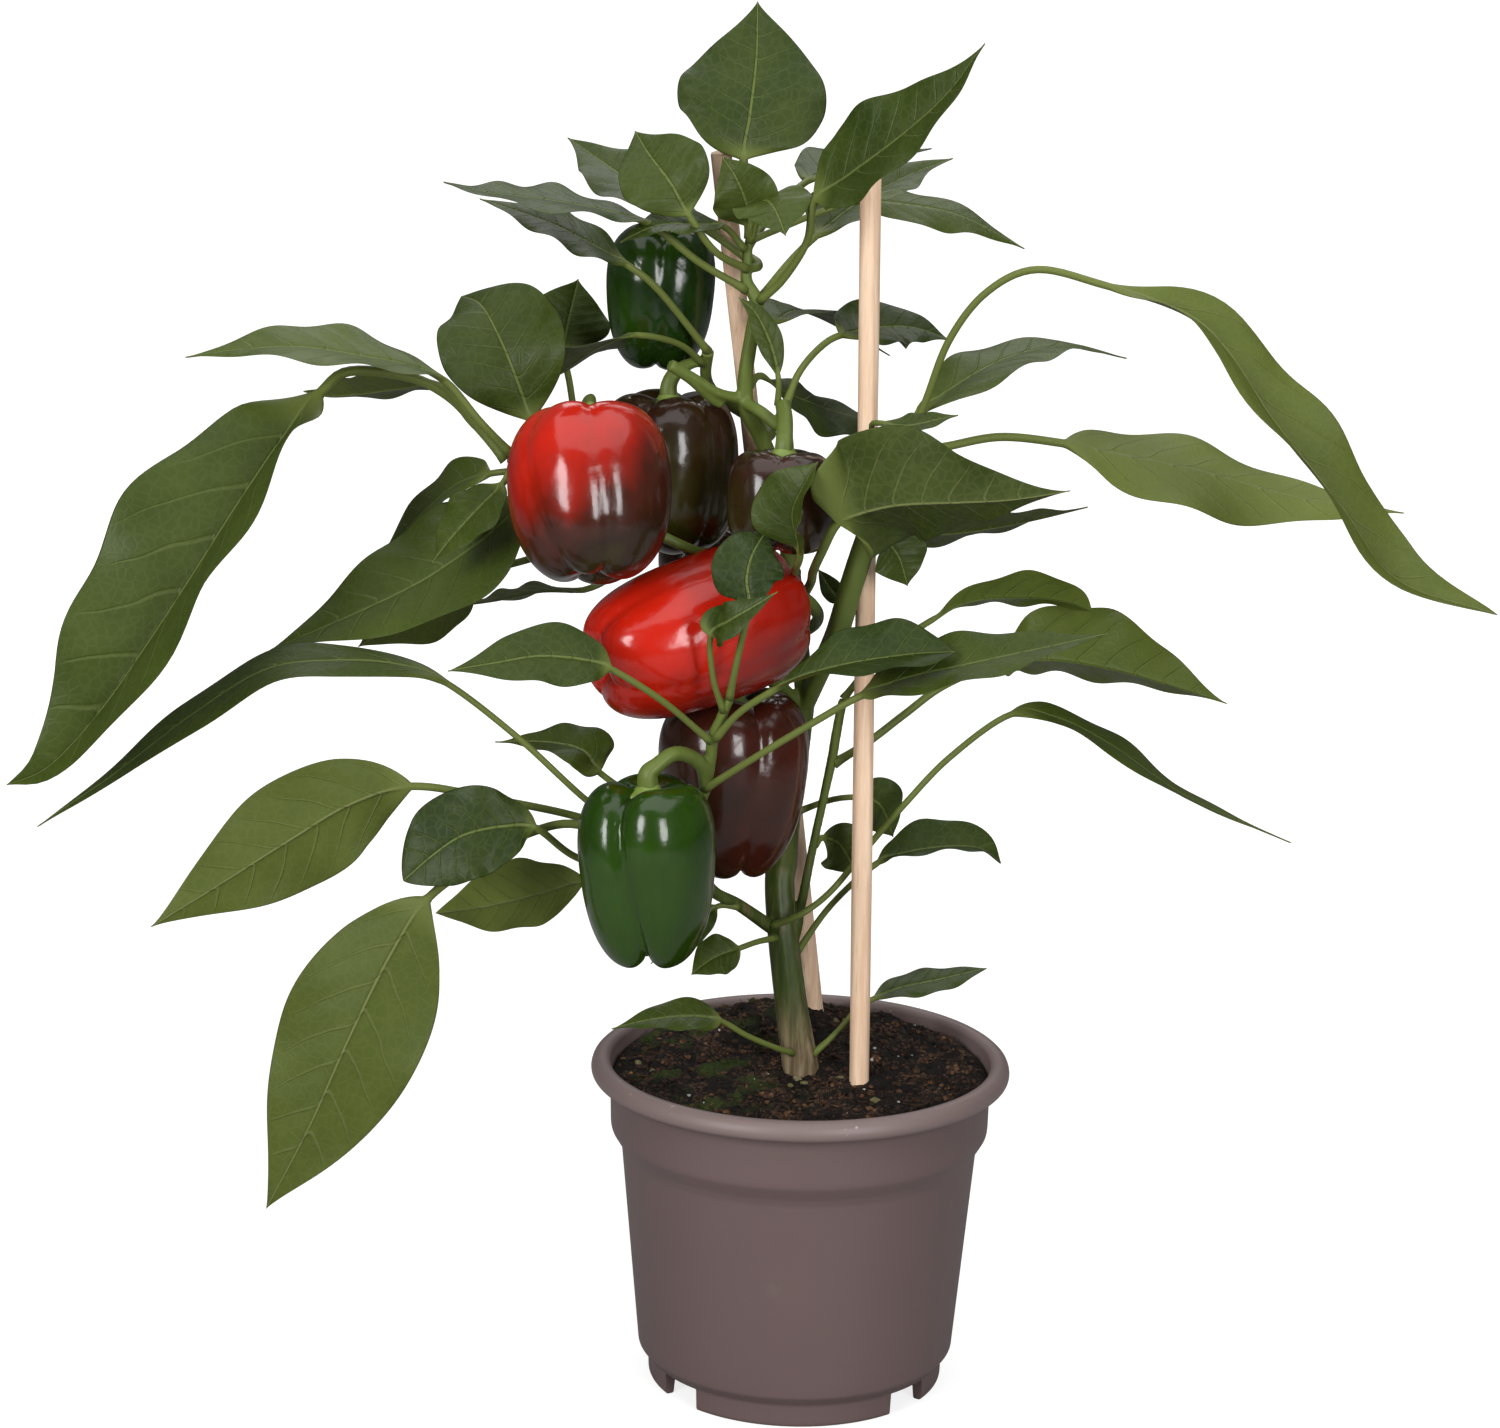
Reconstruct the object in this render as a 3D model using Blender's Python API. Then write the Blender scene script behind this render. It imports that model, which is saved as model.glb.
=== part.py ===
"""Potted sweet pepper plant with eight fruits, two wooden canes and a nursery pot.

Metres, +Z up. The origin is the centre of the pot's underside, on the ground.
Tables of places are in millimetres; make_object turns them into metres.
"""
import bpy
import numpy as np
from mathutils import Vector
from mathutils.bvhtree import BVHTree

MM = 0.001
GAP = 0.35  # clearance between separate pieces, mm

# Pot: outline turned about Z, mm
RIM_RADIUS = 85.0
RIM_HEIGHT = 136.5
COLLAR_RADIUS = 76.8
BODY_TOP_RADIUS = 72.2
BODY_FOOT_RADIUS = 64.6
FOOT_RADIUS = 59.6
WALL = 1.5
PAN_HEIGHT = 12.0  # top of the raised floor
WELL_RADIUS = 28.5  # the sunk middle of the floor
POT_SIDES = 36
NOTCH_WIDTH = 20.0
NOTCH_HEIGHT = 9.4
NOTCH_ANGLES = (50, 130, 230, 310)

# Soil, mm
SOIL_RADIUS = 75.7
SOIL_EDGE = 127.0  # height at the front rim
SOIL_TILT = 5.0  # how much higher it lies at the back rim
SOIL_BACK = 6.5  # rise of the back half towards the middle
SOIL_HEAP = (-20.0, 48.0, 8.0, 15.8)  # heap's x, y, height and spread
SOIL_TO_POT = 0.5  # clearance between the soil and the pot's wall
SOIL_SIDES = 36
ROOT_ROWS = 4  # how many rows of the trunk lie in the soil or at its surface

# Canes, mm: the top, the place where the cane enters the soil and its depth's z
CANE_RADIUS = 4.0
CANES = {
    "cane_front": ((20, 6, 492), (24, -11, 127), 40),
    "cane_back": ((-38, 8, 499), (5, 52, 142), 85),
}

# Leaves, mm
PETIOLE_RADIUS = 0.9
PETIOLE_SHARE = 0.014  # added petiole radius for each mm of blade width
BLADE_TOP = 0.45  # half thickness of the blade
BLADE_RIB = 1.0  # depth of the midrib under the blade
BLADE_FLAT_FROM = 0.16  # share of the blade over which the petiole flattens
BLADE_STATIONS = np.array([0, 0.11, 0.27, 0.44, 0.62, 0.79, 0.92])
PER_SPAN = 8  # curve points between two points of a route
FOOT_STEP = 0.25  # how finely a petiole's foot is looked for

STEM_COLOUR = (0.10, 0.16, 0.04)
LEAF_COLOUR = (0.05, 0.12, 0.03)


def leaf(blade, width, fold, peak, full, up_base, up_tip, route):
    """A leaf: its route from the stem to the tip, and its blade.

    blade is the route point where the blade begins, width its full width,
    fold the angle that each half is raised by, peak the place of the widest
    point, full how quickly the width falls away from there, and the two
    vectors are the way the upper side faces at the base and at the tip.
    """
    return {
        "blade": blade,
        "width": width,
        "fold": fold,
        "peak": peak,
        "full": full,
        "up": (up_base, up_tip),
        "route": route,
        "petiole_steps": min(3, blade + 1),
    }


def fruit(top, end, radius, lobes, turn, colour, taper=0.0, shoulder=1.0):
    """A fruit: the middle of its stalk's dimple, its blossom end and its form."""
    return {
        "top": np.array(top, float),
        "end": np.array(end, float),
        "radius": radius,
        "lobes": lobes,
        "turn": np.radians(turn),
        "colour": colour,
        "taper": taper,
        "shoulder": shoulder,
    }


LEAVES = {
    # crown
    "leaf_crown_1": leaf(
        1, 58, 8, 0.36, 2.1, (0, -1, 0.25), (0, -1, 0.35),
        [
            (-26, 0, 467), (-29, 0, 497), (-27, 3, 513), (-25, 14, 534), (-25, 22, 556),
        ],
    ),
    "leaf_crown_2": leaf(
        3, 42, 20, 0.34, 2.2, (-0.3, -0.75, 0.6), (-0.35, -0.6, 0.7),
        [
            (-22, -2, 443), (-13, -8, 452), (-4, -18, 468), (-1, -24, 484), (13, -33, 496),
            (31, -43, 511), (47, -50, 527), (60, -55, 546),
        ],
    ),
    "leaf_crown_3": leaf(
        2, 40, 15, 0.4, 2.3, (-0.1, -0.3, 0.95), (-0.1, -0.3, 0.95),
        [
            (-23, 1, 442), (-11, 14, 456), (-1, 26, 465), (13, 42, 475), (33, 60, 485), (54, 70, 493),
        ],
    ),
    "leaf_crown_4": leaf(
        3, 27, -4, 0.38, 2.3, (0.2, -0.4, 0.87), (0.25, -0.4, 0.87),
        [
            (-26, 0, 466), (-15, 6, 470), (1, 14, 476), (15, 18, 480), (34, 19, 479), (56, 28, 474),
            (82, 34, 461),
        ],
    ),
    "leaf_crown_5": leaf(
        2, 36, 15, 0.4, 2.3, (-0.1, -0.1, 1), (-0.1, -0.1, 1),
        [
            (-27, 1, 463), (-17, 24, 475), (-5, 52, 484), (13, 88, 490), (33, 112, 490), (47, 126, 492),
        ],
    ),
    "leaf_crown_6": leaf(
        2, 38, 12, 0.4, 2.3, (0.2, -0.6, 0.8), (0.2, -0.6, 0.8),
        [
            (-27, 1, 459), (-40, 7, 467), (-54, 14, 475), (-70, 30, 482), (-87, 50, 491),
            (-101, 62, 499),
        ],
    ),
    "leaf_crown_7": leaf(
        2, 36, 8, 0.42, 2.3, (0, -0.95, 0.3), (-0.1, -0.9, 0.4),
        [
            (-27, -1, 455), (-39, -14, 463), (-49, -19, 477), (-56, -19, 489), (-65, -8, 499),
            (-71, 2, 507),
        ],
    ),
    "leaf_crown_8": leaf(
        1, 32, 8, 0.35, 2.3, (0, -0.6, 0.8), (0, -0.8, 0.6),
        [
            (-26, -1, 466), (-21, -12, 481), (-18, -19, 482), (-15, -27, 478), (-12, -36, 472),
        ],
    ),
    "leaf_crown_9": leaf(
        2, 40, 5, 0.45, 2.4, (0, -0.17, 1), (0, -0.17, 1),
        [
            (-27, -1, 447), (-45, -8, 458), (-64, -16, 473), (-83, -22, 479), (-105, -28, 483),
            (-127, -34, 486), (-141, -38, 490),
        ],
    ),
    "leaf_crown_10": leaf(
        2, 34, 6, 0.4, 2.5, (0.1, -0.3, 0.95), (0.1, -0.3, 0.95),
        [
            (-42, 12, 421), (-61, 0, 446), (-73, -4, 456), (-87, -6, 464), (-103, -8, 472),
            (-130, -8, 481),
        ],
    ),
    # upper
    "leaf_upper_1": leaf(
        1, 11, 8, 0.45, 2.4, (0.3, -0.9, 0.2), (0.3, -0.9, 0.2),
        [
            (-14, -11, 404), (-14, -14, 415), (-17, -13, 427), (-23, -11, 439), (-30, -8, 445),
        ],
    ),
    "leaf_upper_2": leaf(
        1, 30, 10, 0.4, 2.3, (0, -0.15, 1), (0, -0.15, 1),
        [
            (-24, 1, 436), (-17, 11, 433), (-6, 40, 434), (15, 71, 421), (31, 81, 411),
        ],
    ),
    "leaf_upper_3": leaf(
        3, 34, 8, 0.38, 2.2, (0, -0.5, 0.85), (0, -0.5, 0.85),
        [
            (-11, -12, 404), (-6, -6, 416), (2, 8, 424), (10, 15, 428), (26, 32, 429), (40, 38, 428),
            (54, 42, 423),
        ],
    ),
    "leaf_upper_4": leaf(
        1, 34, -6, 0.45, 2.4, (0, -0.5, 0.85), (0, -0.5, 0.85),
        [
            (-26, 3, 408), (-21, 10, 412), (-10, 24, 403), (6, 36, 395), (29, 52, 387),
        ],
    ),
    # right
    "leaf_right_1": leaf(
        5, 38, 30, 0.52, 2, (0.2, -0.5, 0.85), (0.7, -0.5, 0.45),
        [
            (36, -14, 388), (43, -18, 408), (51, -24, 432), (64, -30, 451), (82, -36, 461),
            (106, -43, 457), (137, -54, 448), (153, -62, 435), (170, -68, 411), (196, -74, 380),
            (218, -77, 353), (256, -80, 341),
        ],
    ),
    "leaf_right_2": leaf(
        1, 36, 6, 0.33, 2.6, (-0.3, -0.25, 0.9), (0, -0.2, 0.97),
        [
            (33, -12, 383), (40, -5, 400), (50, -4, 408), (66, 6, 417), (82, 18, 422), (101, 32, 423),
            (125, 44, 417),
        ],
    ),
    "leaf_right_3": leaf(
        3, 55, -5, 0.36, 2.3, (0, -0.4, 0.9), (0.1, -0.38, 0.9),
        [
            (36, -13, 387), (51, -6, 388), (73, 2, 391), (98, 8, 388), (121, 14, 383), (153, 20, 376),
            (194, 26, 365), (237, 30, 359),
        ],
    ),
    # centre
    "leaf_centre_1": leaf(
        4, 64, 28, 0.19, 1.9, (0, 0.88, 0.47), (0, 0.9, 0.4),
        [
            (-5, 16, 319), (0, -8, 333), (1, -38, 344), (4, -57, 355), (10, -63, 368), (19, -65, 372),
            (33, -69, 376), (55, -72, 378), (74, -75, 380), (96, -76, 384),
        ],
    ),
    "leaf_centre_2": leaf(
        3, 34, 32, 0.45, 2.2, (-0.75, -0.6, 0.2), (-0.75, -0.6, 0.2),
        [
            (-6, 16, 325), (-5, -10, 338), (-6, -44, 345), (-4, -64, 356), (-7, -68, 371),
            (-4, -70, 381), (2, -70, 392),
        ],
    ),
    "leaf_centre_3": leaf(
        2, 28, 6, 0.45, 2.1, (0, -1, 0.1), (0, -1, 0.1),
        [
            (-30, -59, 298), (-27, -66, 315), (-23, -68, 336), (-24, -66, 346), (-22, -62, 355),
            (-17, -56, 363),
        ],
    ),
    "leaf_centre_4": leaf(
        2, 17, 8, 0.2, 1.8, (0, -0.75, 0.6), (0, -0.75, 0.6),
        [
            (-32, -59, 293), (-36, -65, 307), (-37, -70, 325), (-30, -76, 332), (-21, -78, 338),
            (-12, -78, 344),
        ],
    ),
    "leaf_centre_5": leaf(
        1, 44, 8, 0.35, 2.4, (0, 0.55, 0.85), (0, 0.4, 0.92),
        [
            (24, -12, 356), (34, -2, 354), (55, 14, 350), (83, 24, 353), (111, 36, 358),
        ],
    ),
    "leaf_centre_6": leaf(
        1, 24, 12, 0.4, 2.2, (0.3, -0.9, 0.3), (0.3, -0.9, 0.3),
        [
            (21, -12, 350), (28, -14, 352), (34, -15, 346), (38, -14, 334),
        ],
    ),
    # left
    "leaf_left_1": leaf(
        2, 41, 10, 0.42, 2.6, (0.05, -0.2, 0.98), (0, -0.3, 0.95),
        [
            (-117, -18, 384), (-129, -20, 397), (-141, -24, 412), (-154, -30, 419), (-171, -36, 423),
            (-195, -42, 427), (-217, -45, 426), (-238, -46, 423),
        ],
    ),
    "leaf_left_2": leaf(
        2, 50, 6, 0.45, 2.2, (0, -1, 0.15), (-0.1, -0.6, 0.75),
        [
            (-103, -12, 375), (-107, -3, 385), (-110, -2, 394), (-118, -2, 416), (-125, 6, 429),
            (-132, 18, 437), (-141, 34, 438),
        ],
    ),
    "leaf_left_3": leaf(
        3, 34, 10, 0.4, 2.3, (0.2, -0.95, 0.1), (0.2, -0.95, 0.1),
        [
            (-92, -10, 369), (-94, 24, 383), (-98, 42, 402), (-101, 48, 415), (-99, 52, 429),
            (-96, 58, 443),
        ],
    ),
    "leaf_left_4": leaf(
        2, 24, 5, 0.4, 2.3, (0, -0.1, 1), (0, -0.1, 1),
        [
            (-44, 14, 416), (-53, 2, 425), (-68, -11, 430), (-79, -8, 427), (-92, 15, 417),
            (-109, 31, 403),
        ],
    ),
    "leaf_left_5": leaf(
        2, 28, 14, 0.45, 2, (0, 0.5, 0.86), (0, 0.5, 0.86),
        [
            (-112, -14, 379), (-133, 4, 391), (-147, 14, 405), (-164, 26, 402), (-181, 36, 398),
            (-195, 42, 396), (-206, 46, 397),
        ],
    ),
    "leaf_left_6": leaf(
        5, 76, 38, 0.42, 2, (-0.6, -0.75, 0.25), (-0.5, -0.8, 0.2),
        [
            (-119, -14, 381), (-129, -12, 392), (-141, -14, 405), (-156, -18, 413), (-178, -26, 416),
            (-188, -34, 409), (-201, -46, 393), (-216, -60, 370), (-232, -72, 344), (-246, -82, 322),
            (-264, -88, 296), (-284, -90, 274), (-301, -90, 266),
        ],
    ),
    "leaf_left_7": leaf(
        1, 28, 10, 0.4, 2, (-0.2, -0.6, 0.75), (-0.2, -0.6, 0.75),
        [
            (-108, -13, 377), (-125, -12, 375), (-139, 4, 368), (-152, 18, 356), (-163, 28, 344),
            (-174, 36, 330),
        ],
    ),
    "leaf_left_8": leaf(
        2, 50, 10, 0.36, 2.2, (-0.15, -0.7, 0.7), (-0.25, -0.65, 0.7),
        [
            (-87, -10, 366), (-95, -4, 358), (-110, -10, 363), (-131, -16, 347), (-152, -22, 333),
            (-178, -30, 321), (-209, -36, 308),
        ],
    ),
    "leaf_left_9": leaf(
        3, 42, 8, 0.4, 2.3, (0.2, 0.75, 0.6), (0.2, 0.75, 0.6),
        [
            (-79, -14, 362), (-88, 8, 350), (-109, 28, 335), (-136, 36, 325), (-152, 36, 315),
            (-167, 34, 305), (-183, 32, 295),
        ],
    ),
    # lower left
    "leaf_lower_left_1": leaf(
        4, 26, 2, 0.36, 2, (-0.1, -0.25, 0.95), (-0.4, -0.45, 0.8),
        [
            (-44, -42, 236), (-65, -36, 240), (-83, -40, 250), (-111, -45, 277), (-138, -49, 299),
            (-156, -53, 307), (-179, -56, 309), (-206, -60, 306), (-234, -66, 289), (-264, -72, 266),
            (-293, -76, 246),
        ],
    ),
    "leaf_lower_left_2": leaf(
        2, 27, 10, 0.35, 2.1, (0, -0.75, 0.65), (0, -0.7, 0.7),
        [
            (-37, -58, 281), (-55, -73, 300), (-74, -82, 314), (-83, -86, 318), (-100, -90, 320),
            (-116, -94, 318), (-134, -96, 315),
        ],
    ),
    "leaf_lower_left_3": leaf(
        2, 28, 15, 0.25, 2.2, (0.2, -0.35, 0.9), (0.1, -0.35, 0.9),
        [
            (-42, -42, 241), (-65, -31, 250), (-81, -28, 260), (-88, -26, 268), (-102, -22, 270),
            (-123, -18, 269),
        ],
    ),
    "leaf_lower_left_4": leaf(
        4, 46, 10, 0.4, 2.3, (0, 0.97, 0.1), (0, 0.97, 0.1),
        [
            (-44, -38, 230), (-65, -30, 234), (-90, -28, 242), (-119, -40, 251), (-152, -44, 257),
            (-176, -50, 251), (-199, -58, 238), (-225, -66, 222), (-251, -72, 206),
        ],
    ),
    "leaf_lower_left_5": leaf(
        3, 37, 6, 0.5, 1.7, (-0.1, -0.9, 0.4), (-0.1, -0.9, 0.4),
        [
            (-41, -31, 220), (-65, -22, 217), (-89, -38, 228), (-104, -54, 244), (-116, -60, 246),
            (-131, -63, 243), (-143, -65, 235), (-154, -66, 225),
        ],
    ),
    "leaf_lower_left_6": leaf(
        2, 34, 10, 0.45, 2, (0, 0.9, 0.35), (0, 0.9, 0.35),
        [
            (-39, -26, 215), (-65, -24, 213), (-86, -28, 216), (-104, -30, 211), (-124, -32, 206),
            (-145, -34, 203),
        ],
    ),
    "leaf_lower_left_7": leaf(
        5, 58, 8, 0.42, 2.1, (0.1, 0.97, -0.1), (0.1, 0.97, -0.1),
        [
            (-43, -38, 226), (-64, -38, 232), (-89, -40, 242), (-107, -43, 239), (-123, -49, 231),
            (-145, -56, 216), (-159, -61, 195), (-175, -66, 162), (-191, -67, 125), (-209, -64, 89),
        ],
    ),
    # lower right
    "leaf_lower_right_1": leaf(
        2, 34, 24, 0.6, 2.3, (0, -0.3, 0.93), (0, -0.5, 0.85),
        [
            (-35, -58, 282), (-26, -65, 294), (-14, -72, 304), (-3, -76, 311), (15, -79, 317),
            (38, -79, 321), (55, -77, 322),
        ],
    ),
    "leaf_lower_right_2": leaf(
        3, 35, 14, 0.35, 2.2, (0, -0.35, 0.93), (0, -0.35, 0.93),
        [
            (-39, -50, 260), (-18, -62, 277), (5, -71, 294), (20, -75, 304), (36, -77, 311),
            (59, -77, 317), (87, -73, 323), (113, -66, 328),
        ],
    ),
    "leaf_lower_right_3": leaf(
        4, 50, 34, 0.33, 2.1, (0, 0.8, 0.5), (0.1, 0.8, 0.5),
        [
            (11, 6, 257), (25, 12, 265), (39, 18, 275), (55, 24, 286), (77, 30, 294), (98, 34, 295),
            (122, 38, 291), (148, 40, 284), (171, 40, 277),
        ],
    ),
    "leaf_lower_right_4": leaf(
        2, 27, 20, 0.6, 2.3, (0, 0.65, 0.7), (0, 0.65, 0.7),
        [
            (14, 4, 284), (28, 8, 301), (48, 11, 315), (64, 14, 323), (87, 18, 324), (103, 20, 322),
            (113, 22, 318),
        ],
    ),
    "leaf_lower_right_5": leaf(
        6, 29, 6, 0.3, 2.2, (0.1, -0.14, 0.95), (0.55, 0, 0.83),
        [
            (-13, -2, 191), (-1, -8, 198), (11, -1, 206), (25, 7, 222), (40, 10, 240), (58, 14, 259),
            (82, 18, 276), (101, 20, 274), (123, 20, 263), (154, 18, 243), (196, 10, 227),
        ],
    ),
    "leaf_lower_right_6": leaf(
        2, 28, 30, 0.5, 2, (0, -0.3, 0.95), (0.2, -0.3, 0.93),
        [
            (-3, 5, 177), (11, 9, 197), (29, 12, 214), (41, 15, 218), (57, 18, 220), (71, 20, 219),
            (80, 20, 213),
        ],
    ),
    "leaf_lower_right_7": leaf(
        3, 18, 4, 0.45, 2, (0, -0.3, 0.95), (0, -0.3, 0.95),
        [
            (5, -2, 137), (15, 2, 146), (23, 5, 155), (29, 8, 158), (40, 14, 161), (56, 20, 163),
            (76, 28, 166),
        ],
    ),
    "leaf_lower_right_8": leaf(
        3, 18, 10, 0.3, 2, (0, -0.5, 0.87), (0, -0.5, 0.87),
        [
            (-3, -6, 139), (-10, -12, 143), (-22, -18, 150), (-32, -22, 157), (-44, -26, 160),
            (-60, -32, 160), (-75, -38, 158),
        ],
    ),
}

# stem pieces: x, y, z and radius, mm; a fruit's stalk ends in its dimple
STEMS = {
    "trunk": [
        (2, 0, 100, 6), (1, 0, 119, 7.4), (0, 0, 131, 7.4), (-4, 1, 155, 6.6), (-8, 3, 184, 6.2),
        (-10, 8, 205, 6), (-9, 13, 214, 6), (-6, 24, 228, 3.8), (-3, 27, 253, 3.6), (-1, 24, 277, 3.8),
    ],
    "right_fork": [
        (-1, 24, 277, 3.8), (5, 11, 295, 4.2), (11, -5, 313, 4.6), (16, -11, 333, 4.6),
        (22, -14, 354, 4.4), (28, -15, 372, 3.6), (36, -14, 388, 3),
    ],
    "left_fork": [
        (-1, 24, 277, 3.8), (-4, 20, 304, 3.8), (-7, 18, 327, 3.8), (-10, 16, 350, 3.6),
        (-14, 12, 370, 3.5), (-20, 7, 387, 3.4), (-26, 2, 400, 3.4), (-27, 0, 412, 3),
        (-25, -1, 428, 2.8), (-23, -1, 442, 2.8), (-27, 0, 450, 2.4), (-27, 0, 459, 2),
        (-26, 0, 469, 1.6),
    ],
    "stub": [
        (-27, 1, 404, 2.4), (-37, -4, 407, 2), (-46, -8, 413, 1.9), (-55, -12, 419, 1.8),
    ],
    "side_upper": [
        (-20, 8, 387, 2.6), (-17, 20, 388, 2.4), (-21, 31, 390, 2.4), (-31, 35, 395, 2.4),
        (-40, 31, 402, 2.4), (-43, 22, 410, 2.4), (-42, 12, 421, 2.6),
    ],
    "side_mid": [
        (-27, 0, 403, 2.6), (-20, -7, 400, 2.5), (-13, -12, 396, 2.6), (-12, -12, 404, 2.6),
    ],
    "branch_left": [
        (-6, 18, 325, 2.6), (-15, 15, 332, 2.6), (-26, 10, 338, 2.4), (-37, 0, 342, 2.3),
        (-41, -11, 345, 2.2), (-46, -21, 348, 2.2), (-60, -24, 355, 2.2), (-74, -17, 361, 2.2),
        (-89, -11, 368, 2.2), (-104, -13, 376, 2.2), (-118, -16, 382, 2.1),
    ],
    "branch_front": [
        (-13, 0, 190, 3), (-26, -10, 202, 2.6), (-37, -22, 212, 2.5), (-43, -40, 232, 2.4),
        (-42, -44, 249, 2.4), (-39, -48, 260, 2.5), (-37, -53, 272, 2.3), (-36, -56, 282, 2.3),
        (-33, -58, 290, 2), (-30, -59, 298, 2),
    ],
    "thin_stem": [
        (-6, 4, 177, 2.6), (-3, 4, 187, 2.4), (-1, 4, 198, 2), (3, 5, 221, 1.8), (7, 6, 242, 1.8),
        (10, 6, 258, 2), (12, 5, 272, 2), (14, 4, 284, 1.8),
    ],
    "stalk_1": [
        (-82, -13, 364, 2), (-84, -11, 374, 2.2), (-86, -8, 384, 2.4), (-88, -7, 394, 2.4),
        (-88, -11, 404, 2.6), (-86, -22, 410, 2.8), (-85, -32, 410, 3),
    ],
    "stalk_2": [
        (-43, 15, 416, 1.9), (-48, 14, 416, 2.2), (-54, 11, 413, 3), (-56, 9, 407, 3.4),
    ],
    "stalk_3": [
        (-12, -12, 404, 3.2), (-11, -22, 400, 3.2), (-11, -31, 395, 3.4), (-11, -34, 392, 3.6),
    ],
    "stalk_4": [
        (-5, 20, 306, 2.4), (2, 14, 312, 2.4), (3, 4, 319, 2.6), (0, -5, 323, 3.2),
    ],
    "stalk_5": [
        (-1, 24, 274, 2.2), (-9, 18, 284, 2.4), (-18, 13, 290, 2.8), (-25, 6, 289, 3.2),
        (-28, 0, 287, 3.4),
    ],
    "stalk_6": [
        (-39, -48, 260, 2.4), (-40, -55, 270, 2.9), (-45, -62, 276, 2.9), (-51, -68, 278, 2.9),
        (-57, -71, 274, 3.2), (-60, -72, 269, 3.8),
    ],
    "stalk_7": [
        (-27, 0, 455, 1.9), (-23, 8, 455, 1.9), (-24, 18, 456, 1.9), (-31, 24, 459, 1.9),
        (-38, 26, 464, 1.9), (-47, 28, 471, 2.1), (-54, 29, 475, 2.6), (-60, 30, 472, 3),
    ],
    "stalk_8": [
        (-9, 17, 341, 1.9), (-7, 27, 343, 1.9), (-15, 38, 348, 2), (-28, 43, 353, 2.1),
        (-37, 44, 353, 2.2), (-42, 43, 351, 2.6), (-43, 44, 348, 2.8),
    ],
}

# dimple, blossom end, radius, lobes, turn, colour
RED = (0.60, 0.02, 0.01)
BROWN = (0.08, 0.04, 0.02)
GREEN = (0.05, 0.13, 0.03)
DARK = (0.03, 0.02, 0.02)
FRUITS = {
    "fruit_red_upper": fruit((-85, -36, 406), (-83, -60, 341), 29.5, 4, 20, RED),
    "fruit_brown": fruit((-57, 9, 405), (-57, 7, 340), 28.3, 4, 10, BROWN),
    "fruit_small_brown": fruit((-11, -34, 390), (-12, -37, 350), 20.8, 3, 0, BROWN),
    "fruit_red_front": fruit((-4, -8, 323), (-83, -48, 303), 28.5, 4, 30, RED, 0.0, 0.86),
    "fruit_dark_lower": fruit((-28, -1, 285), (-26, -6, 212), 30, 4, 0, DARK),
    "fruit_green_front": fruit((-60, -72, 268), (-59, -72, 194), 27.3, 4, 45, GREEN, 0.12),
    "fruit_green_top": fruit((-60, 30, 468), (-63, 28, 410), 23, 4, 0, GREEN),
    "fruit_dark_back": fruit((-43, 44, 346), (-45, 42, 319), 17.5, 3, 0, DARK),
}
# share of the fruit's length and of its radius, from the shoulder to the end
FRUIT_FORM = (
    (-0.02, 0.45), (0.05, 0.78), (0.16, 0.94), (0.32, 1.0),
    (0.52, 1.0), (0.70, 0.95), (0.84, 0.83), (0.94, 0.58),
)
FRUIT_SIDES = 16
LOBE_DEPTH = 0.05
STALK_END = 3.0  # straight end of a stalk above its fruit, mm
SOCKET = 1.3  # how much wider than its stalk the dimple's floor is, mm
END_DIMPLE = 2.0

STALKS = {
    "stalk_1": "fruit_red_upper",
    "stalk_2": "fruit_brown",
    "stalk_3": "fruit_small_brown",
    "stalk_4": "fruit_red_front",
    "stalk_5": "fruit_dark_lower",
    "stalk_6": "fruit_green_front",
    "stalk_7": "fruit_green_top",
    "stalk_8": "fruit_dark_back",
}


def smooth_curve(points, per_span=PER_SPAN):
    """A Catmull-Rom curve through the points, as closely spaced points."""
    p = np.asarray(points, float)
    ends = np.vstack([2 * p[0] - p[1], p, 2 * p[-1] - p[-2]])
    t = (np.arange(per_span) / per_span)[:, None]
    spans = []
    for p0, p1, p2, p3 in zip(ends[:-3], ends[1:-2], ends[2:-1], ends[3:]):
        cubic = -p0 + 3 * p1 - 3 * p2 + p3
        square = 2 * p0 - 5 * p1 + 4 * p2 - p3
        spans.append(0.5 * (2 * p1 + (p2 - p0) * t + square * t**2 + cubic * t**3))
    return np.vstack(spans + [p[-1:]])


def lengths_along(curve):
    """The distance along the curve at each of its points."""
    return np.r_[0, np.cumsum(np.linalg.norm(np.diff(curve, axis=0), axis=1))]


def at_lengths(curve, distances):
    """Points and unit tangents of the curve at the given distances along it."""
    along = lengths_along(curve)
    slope = np.gradient(curve, axis=0)
    slope /= np.linalg.norm(slope, axis=1)[:, None]
    places = np.stack([np.interp(distances, along, curve[:, k]) for k in range(3)], axis=1)
    tangents = np.stack([np.interp(distances, along, slope[:, k]) for k in range(3)], axis=1)
    return places, tangents / np.linalg.norm(tangents, axis=1)[:, None]


def blade_profile(s, peak, fullness):
    """Half-width of a leaf blade, 0 at its base and tip and 1 at its widest place."""
    s = np.clip(s, 0, 1)
    rising = (s / peak) ** (fullness * peak)
    return rising * ((1 - s) / (1 - peak)) ** (fullness * (1 - peak))


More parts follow.
